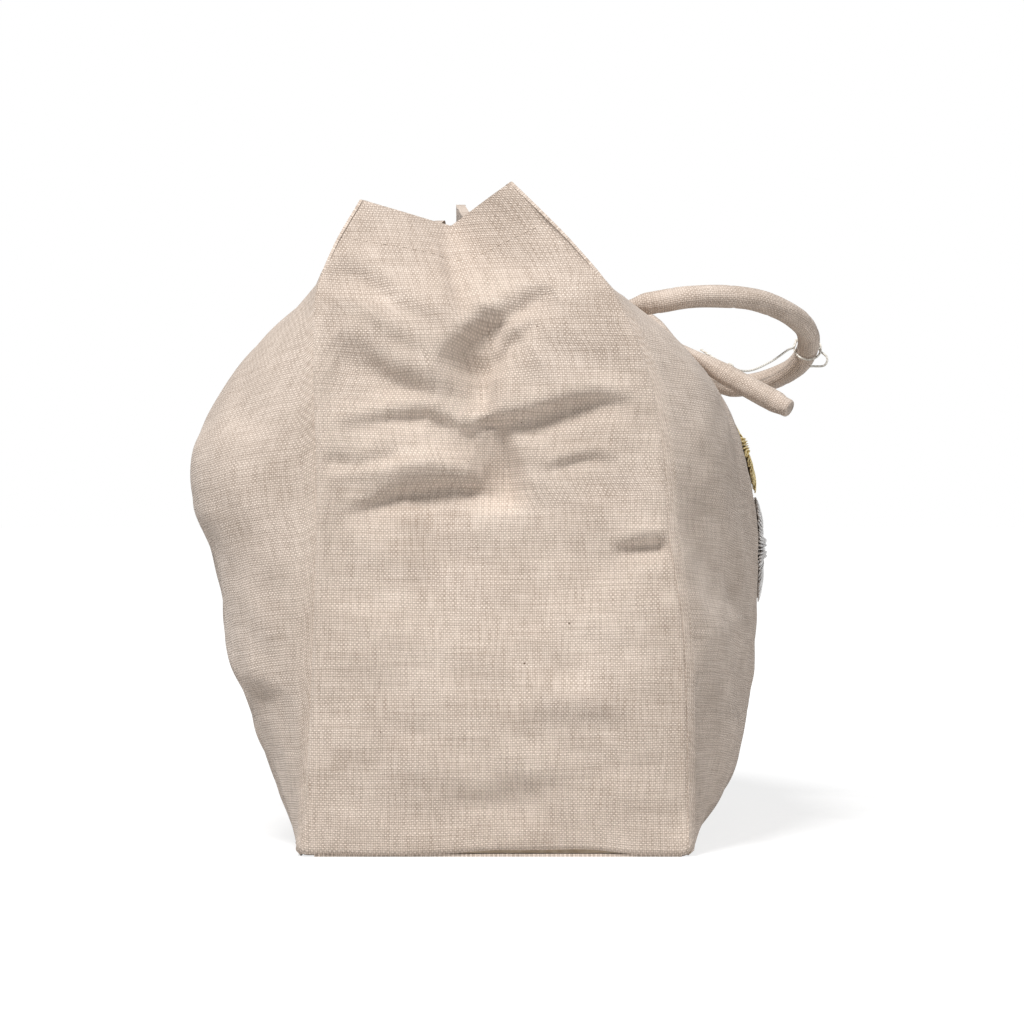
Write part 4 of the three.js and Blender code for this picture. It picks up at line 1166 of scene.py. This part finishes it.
TUBE_SIDES = 28
GRIP_STEPS = 220
GRIP_STRIDE = 4
END_RINGS = 90
END_STEPS = 5
TAIL_STEPS = 6
FULLER_FROM_STEP = 3
TAIL_START_SHARE = 0.6
TIP_LENGTH = 7
TIP_WIDENING = 1.2
TIP_FLATTENING = 0.16
TIP_NOSE = 1.3
TIP_SHARES = np.array([0.35, 0.7, 0.93])
TACK_DENT = 0.2
TACK_DENT_HALF_WIDTH = 2.2
TACK_THREADS = (-1.2, -0.4, 0.4, 1.2)
TACK_THREAD = 0.8
TACK_STEPS = 24
TACK_SINK = 0.25
TACK_WIDER = 0.5
TACK_HIGHER = 0.1
# Stuffing: two slow waves, as (height, length), and cross creases.
LUMPS = (0.02, 9)
RIPPLES = (0.015, 4.3)
CROSS_CREASE_SPACING = 9
CROSS_CREASE_SLANT = 1.2
CROSS_CREASE_HALF_WIDTH = 0.9
CROSS_CREASE_DEPTH = (0.02, 0.07)


def handle_relief(path, seed):
    """Small bulges and cross creases of a stuffed tube, as a scale on its radius."""
    rng = np.random.default_rng(seed)
    run = path_run(path)[:, None]
    angle = 2 * math.pi * np.arange(TUBE_SIDES)[None] / TUBE_SIDES
    relief = 1 + LUMPS[0] * np.sin(run / LUMPS[1] + seed) * np.cos(angle)
    relief = relief + RIPPLES[0] * np.sin(run / RIPPLES[1] + 2 * angle)
    for _ in range(int(run[-1, 0] / CROSS_CREASE_SPACING)):
        place = rng.uniform(0, run[-1, 0])
        facing = rng.uniform(0, 2 * math.pi)
        slant = rng.normal(0, CROSS_CREASE_SLANT)
        off = run - place - slant * np.sin(angle - facing)
        near = np.exp(-((off / CROSS_CREASE_HALF_WIDTH) ** 2))
        relief -= rng.uniform(*CROSS_CREASE_DEPTH) * near * np.clip(np.cos(angle - facing), 0, 1)
    return relief


def make_grip(path, name, seed):
    before = path[0] - unit(path[1] - path[0]) * GRIP_TUCK
    after = path[-1] + unit(path[-1] - path[-2]) * GRIP_TUCK
    path = smooth_path([before, *path[::GRIP_STRIDE], path[-1], after], len(path))
    run = np.linspace(0, path_length(path), len(path))
    full = smoothstep(np.minimum(run, run[-1] - run), 0, HANDLE_TAPER)
    width = lerp(FLAT_WIDTH, HANDLE_DIAMETER, full)
    thickness = lerp(FLAT_THICKNESS, HANDLE_DIAMETER, full)
    tube = tube_geometry(path, width, thickness, TUBE_SIDES, handle_relief(path, seed))
    grip = dress(joined(f"{name}_tube", [tube]), "linen", f"{name}_cover", body=name)


def back_grip_path(count):
    fold = joint_place("back_handle_swing")

    def leg(end):
        start = np.array([fold[0] - GRIP_START, end * HANDLE_HALF_SPACING, fold[2]])
        rest = [off_panel(BACK, end * y, BACK_ANCHOR_HEIGHT - down, off) for y, down, off in BACK_GRIP]
        return [start] + rest

    return smooth_path(leg(-1) + leg(1)[-2::-1], count)


def end_thickness(step):
    """Thickness of an end: flat where it is sewn, fuller along its tail."""
    share = smoothstep(step, FULLER_FROM_STEP, END_STEPS + TAIL_STEPS / 2)
    return lerp(END_THICKNESS, TAIL_THICKNESS, share)


def path_down(side, end, height, splay, steps):
    """Centre line of an end that lies on the panel, down from its anchor."""
    y = end * HANDLE_HALF_SPACING
    z = height
    points = []
    for i in range(steps + 1):
        normal = side_normal(side, y, z)
        points.append(off_panel(side, y, z, end_thickness(i) / 2 + SEAT_GAP))
        stride = END_SEWN_LENGTH / END_STEPS if i < END_STEPS else TAIL_LENGTH / TAIL_STEPS
        z -= stride * math.hypot(normal[0], normal[1]) * math.cos(splay)
        y += end * stride * math.sin(splay)
    return points


def standing_end_path():
    """The left end at the front, whose tail stands out from the panel."""
    points = path_down(FRONT, -1, FRONT_ANCHOR_HEIGHT, FRONT_TAIL_SPLAY, END_STEPS)
    start = unit(points[-1] - points[-2])
    finish = np.array([math.cos(FRONT_TAIL_DROP), -math.sin(FRONT_TAIL_SPLAY), math.sin(FRONT_TAIL_DROP)])
    for i in range(1, TAIL_STEPS + 1):
        heading = unit(lerp(start, finish, i / TAIL_STEPS))
        points.append(points[-1] + heading * TAIL_LENGTH / TAIL_STEPS)
    return points


def lying_end_path(side, end, height, splay):
    return path_down(side, end, height, splay, END_STEPS + TAIL_STEPS)


def make_end(points, name, seed):
    """Handle end: the tube sewn flat on the panel, running on into a free tail with a pinched tip."""
    path = smooth_path(points, END_RINGS)
    run = np.linspace(0, path_length(path), len(path))
    tail = smoothstep(run, END_SEWN_LENGTH * TAIL_START_SHARE, END_SEWN_LENGTH + TAIL_LENGTH / 2)
    pinch = smoothstep(run, run[-1] - TIP_LENGTH, run[-1])
    width = lerp(END_WIDTH, HANDLE_DIAMETER, tail) + TIP_WIDENING * pinch
    thickness = lerp(END_THICKNESS, TAIL_THICKNESS, tail) * (1 - TIP_FLATTENING * pinch)
    for distance in TACK_PLACES.values():
        thickness = thickness * (1 - TACK_DENT * np.exp(-((run - distance) / TACK_DENT_HALF_WIDTH) ** 2))
    path, width, thickness, relief = closed_tip(path, width, thickness, handle_relief(path, seed))
    tube = tube_geometry(path, width, thickness, TUBE_SIDES, relief)
    piece = dress(joined(f"{name}_end_tube", [tube]), "linen", f"{name}_end", body="bag")
    for place, distance in TACK_PLACES.items():
        make_tack(path, distance, f"{name}_tack_{place}")


def closed_tip(path, width, thickness, relief):
    """Rounds both ends of a tube over a short nose."""
    reach = TIP_NOSE * TIP_SHARES[:, None]
    drop = 2 * TIP_NOSE * (1 - np.sqrt(1 - TIP_SHARES ** 2))
    first = path[0] + unit(path[0] - path[1]) * reach
    last = path[-1] + unit(path[-1] - path[-2]) * reach
    path = np.concatenate([first[::-1], path, last])
    width, thickness = (np.concatenate([s[0] - drop[::-1], s, s[-1] - drop]) for s in (width, thickness))
    count = len(TIP_SHARES)
    relief = np.concatenate([relief[:1].repeat(count, 0), relief, relief[-1:].repeat(count, 0)])
    return path, width, thickness, relief


def make_tack(path, distance, node):
    """Thread tack: parallel threads over a sewn end, going into the panel at both edges."""
    run = path_run(path)
    across, rise = path_frames(path)
    angle = np.linspace(-TACK_SINK, math.pi + TACK_SINK, TACK_STEPS)[:, None]
    reach_w = END_WIDTH / 2 + TACK_WIDER
    reach_t = END_THICKNESS / 2 + TACK_HIGHER
    threads = []
    for offset in TACK_THREADS:
        i = int(np.argmin(np.abs(run - distance - offset)))
        up = rise[i] * np.sign(rise[i][2])
        arch = path[i] + across[i] * reach_w * np.cos(angle) + up * reach_t * np.sin(angle)
        threads.append(tube_geometry(arch, TACK_THREAD, TACK_THREAD, STRING_SIDES))
    dress(joined(f"{node}_threads", threads), "thread", node, body="bag")


def make_handles():
    make_grip(front_grip_path(GRIP_STEPS), "front_handle", seed=3)
    make_grip(back_grip_path(GRIP_STEPS), "back_handle", seed=4)
    front = lying_end_path(FRONT, 1, FRONT_ANCHOR_HEIGHT, FRONT_TAIL_SPLAY)
    make_end(standing_end_path(), "front_handle_left", seed=31)
    make_end(front, "front_handle_right", seed=32)
    for name, end, seed in (("left", -1, 33), ("right", 1, 34)):
        path = lying_end_path(BACK, end, BACK_ANCHOR_HEIGHT, BACK_TAIL_SPLAY)
        make_end(path, f"back_handle_{name}", seed)


# Raffia flowers

FIBRE_SIDES = 6
STRAND_STEPS = 14
STRAND_THICKNESS = 0.7
STRAND_START_SHARE = 0.12
STRAND_SEAT = 0.5
STRAND_ARCH = (0.03, 0.97)
STRAND_ARCH_POWER = 0.6
STRAND_TIP_SHARE = 0.55
STRANDS_PER_PETAL = 11
STRAND_REACH = (0.95, 1.02)
STRAND_WIDTH = (2.8, 3.6)
STRAND_RISE = (1.5, 2.1)
UNDER_STRANDS = (0.2, 0.4, 0.6, 0.8)
# Share of the reach, width and rise of the strands underneath.
UNDER_STRAND = (0.93, 6, 0.7)
HEART_LOOPS = 9
HEART_RADIUS = 2.2
HEART_LOOP_RADIUS = 1.1
HEART_HEIGHT = 1.3
HEART_WAVE = 0.3
HEART_THICKNESS = 0.9
HEART_TURN = 2 * math.pi * 0.95
HEART_STEPS = 18


def flower_strand(flower, angle, reach, width, rise):
    """One raffia strand from the heart of a flower to its rim, arched over the panel."""
    t = np.linspace(0, 1, STRAND_STEPS)
    distance = lerp(STRAND_START_SHARE * flower.radius, reach, t)
    y = flower.y + distance * math.cos(angle)
    z = flower.z + distance * math.sin(angle)
    lift = STRAND_SEAT + rise * np.sin(np.pi * lerp(*STRAND_ARCH, t)) ** STRAND_ARCH_POWER
    wide = width * (STRAND_TIP_SHARE + (1 - STRAND_TIP_SHARE) * np.sin(np.pi * t))
    return tube_geometry(off_panel(FRONT, y, z, lift), wide, STRAND_THICKNESS, FIBRE_SIDES)


def heart_loop(flower, angle):
    turn = np.linspace(0, HEART_TURN, HEART_STEPS)
    y = flower.y + HEART_RADIUS * math.cos(angle) + HEART_LOOP_RADIUS * np.cos(turn)
    z = flower.z + HEART_RADIUS * math.sin(angle) + HEART_LOOP_RADIUS * np.sin(turn)
    path = off_panel(FRONT, y, z, HEART_HEIGHT + HEART_WAVE * np.sin(turn))
    return tube_geometry(path, HEART_THICKNESS, HEART_THICKNESS, FIBRE_SIDES)


def make_flower(flower):
    rng = np.random.default_rng(int(flower.radius))

    def petal_strand(petal, spread, share, width, rise):
        angle = 2 * math.pi * (petal + spread) / flower.petals
        lobe = 1 - PETAL_DEPTH * (1 - math.sin(math.pi * spread))
        return flower_strand(flower, angle, flower.radius * lobe * share, width, rise)

    parts = []
    for petal in range(flower.petals):
        for k in range(STRANDS_PER_PETAL):
            spread = (k + 0.5) / STRANDS_PER_PETAL
            share, width, rise = (rng.uniform(*span) for span in (STRAND_REACH, STRAND_WIDTH, STRAND_RISE))
            parts.append(petal_strand(petal, spread, share, width, rise))
        for spread in UNDER_STRANDS:
            parts.append(petal_strand(petal, spread, *UNDER_STRAND))
    parts += [heart_loop(flower, 2 * math.pi * k / HEART_LOOPS) for k in range(HEART_LOOPS)]
    dress(joined(f"{flower.name}_raffia", parts), flower.slot, flower.name, body="bag")


# Stitching

STITCH_LENGTH = 2.6
STITCH_GAP = 1.6
STITCH_RADIUS = 0.22
STITCH_STEPS = 6
STITCH_RISE = 1.2
STITCH_SINK = 0.6
STITCH_END_SHARE = 0.6
BAND_STITCH_ROW = LOWER_ROWS + int(0.74 * BAND_ROWS)
BAND_STITCH_INSET = 4


def stitches(points, normals):
    """Running stitch along a line on the cloth: each stitch dips into the cloth at both ends."""
    run = path_run(points)
    arch = np.sin(np.linspace(0, math.pi, STITCH_STEPS)) ** 0.5
    height = STITCH_RADIUS * (STITCH_RISE * arch - STITCH_SINK)
    size = 2 * STITCH_RADIUS * (STITCH_END_SHARE + (1 - STITCH_END_SHARE) * arch)
    parts = []
    place = STITCH_GAP
    while place + STITCH_LENGTH < run[-1] - STITCH_GAP:
        at = np.linspace(place, place + STITCH_LENGTH, STITCH_STEPS)
        path = along_run(at, run, points) + along_run(at, run, normals) * height[:, None]
        parts.append(tube_geometry(path, size, size, FIBRE_SIDES))
        place += STITCH_LENGTH + STITCH_GAP
    return parts


def make_hem_stitches(grid, name, row, first, stop, blend):
    line = (row, slice(first, stop))
    piece = dress(joined(name, stitches(grid.points[line], grid.normals[line])), "thread")
    bend(piece, blend)


def make_stitching(panels, gussets):
    for side, grid in panels.items():
        make_hem_stitches(grid, f"{side}_hem_stitches", BAND_STITCH_ROW, BAND_STITCH_INSET,
                          PANEL_COLUMNS - BAND_STITCH_INSET, BLENDS[side])
    row = int(GUSSET_ROWS * (1 - (HEM_DEPTH - HEM_STITCH_INSET) / CREASE_HEIGHT))
    halves = {"back": (LINING_INSET, GUSSET_MIDDLE), "front": (GUSSET_MIDDLE, GUSSET_COLUMNS - LINING_INSET)}
    for name, grid in gussets.items():
        for side, (first, stop) in halves.items():
            make_hem_stitches(grid, f"{name}_gusset_{side}_stitches", row, first, stop, GUSSET_BLENDS[side])


def dress_kept_solids():
    """Solids whose own shape is right: snap parts, board and handle cores."""
    kept = {"snap_metal": ("snap_stud", "snap_socket", "stud_backing_plate", "socket_backing_plate"),
            "board": ("base_board",), "cotton_cord": ("front_handle_core", "back_handle_core")}
    for slot, names in kept.items():
        for name in names:
            solid = frame["nodes"][name]
            solid.data.materials.clear()
            solid.data.materials.append(SLOT_MATERIALS[slot])


# Studio, in metres

FLOOR_HALF_SIZE = 30
FLOOR_LIT = (0.7, 0.7, 0.7, 1)
FLOOR_SEEN = (0.3, 0.3, 0.3, 1)
FLOOR_FADE = {"From Min": 0.3, "From Max": 1.1, "To Min": 0.78, "To Max": 1.0}
WORLD_LIGHT = 0.18
BACKDROP_LIGHT = 1.0
AIM = (0, 0, 0.14)


def make_floor():
    """White floor that keeps a pale shadow near the bag and fades into the backdrop."""
    corners = [(-1, -1), (1, -1), (1, 1), (-1, 1)]
    mesh = bpy.data.meshes.new("floor")
    places = [(x * FLOOR_HALF_SIZE, y * FLOOR_HALF_SIZE, 0) for x, y in corners]
    mesh.from_pydata(places, [], [(0, 1, 2, 3)])
    floor = bpy.data.objects.new("floor", mesh)
    bpy.context.scene.collection.objects.link(floor)
    nodes = new_nodes("floor")
    nodes.tree.nodes.clear()
    lit = nodes.add("BsdfDiffuse", {"Color": FLOOR_LIT})
    shadowed = nodes.add("BsdfDiffuse", {"Color": FLOOR_SEEN})
    distance = nodes.add("VectorMath", {0: nodes.place()}, operation="LENGTH").outputs["Value"]
    fade = nodes.add("MapRange", {"Value": distance, **FLOOR_FADE}, interpolation_type="SMOOTHSTEP")
    glow = nodes.add("Emission", {"Strength": fade.outputs[0]})
    seen = nodes.add("AddShader", {0: shadowed.outputs[0], 1: glow.outputs[0]})
    ray = nodes.add("LightPath").outputs["Is Camera Ray"]
    choose = nodes.add("MixShader", {0: ray, 1: lit.outputs[0], 2: seen.outputs[0]})
    nodes.add("OutputMaterial", {0: choose.outputs[0]})
    mesh.materials.append(nodes.owner)


def make_world():
    """Dim white light all round, with a white backdrop where it is seen or mirrored."""
    world = bpy.data.worlds.new("studio")
    bpy.context.scene.world = world
    nodes = Nodes(world)
    ray = nodes.add("LightPath")
    shown = ray.outputs["Is Camera Ray"]
    for kind in ("Is Glossy Ray", "Is Transmission Ray"):
        shown = nodes.math("MAXIMUM", shown, ray.outputs[kind])
    strength = nodes.add("MapRange", {"Value": shown, "To Min": WORLD_LIGHT, "To Max": BACKDROP_LIGHT})
    background = nodes.tree.nodes["Background"]
    background.inputs["Color"].default_value = (1, 1, 1, 1)
    nodes.put(background.inputs["Strength"], strength.outputs[0])


def make_light(name, place, size, energy):
    light = bpy.data.lights.new(name, "AREA")
    light.shape = "DISK"
    light.size = size
    light.energy = energy
    lamp = bpy.data.objects.new(name, light)
    lamp.location = place
    heading = np.array(AIM, float) - np.array(place, float)
    tilt = math.atan2(math.hypot(heading[0], heading[1]), -heading[2])
    lamp.rotation_euler = (tilt, 0, math.atan2(heading[1], heading[0]) - math.pi / 2)
    bpy.context.scene.collection.objects.link(lamp)


def make_studio():
    make_floor()
    make_world()
    make_light("key", place=(-0.5, -1.3, 2.1), size=0.6, energy=65)
    make_light("fill", place=(2.25, -0.7, 0.9), size=1.6, energy=12)
    bpy.context.scene.view_settings.view_transform = "Standard"


make_camera()
make_string()
panels = {side.name: make_panel(side) for side in (FRONT, BACK)}
gussets = {"left": make_gusset(-1, "left", seed=41), "right": make_gusset(1, "right", seed=57)}
make_base()
make_pocket()
make_handles()
for flower in FLOWERS:
    make_flower(flower)
make_stitching(panels, gussets)
dress_kept_solids()
make_studio()
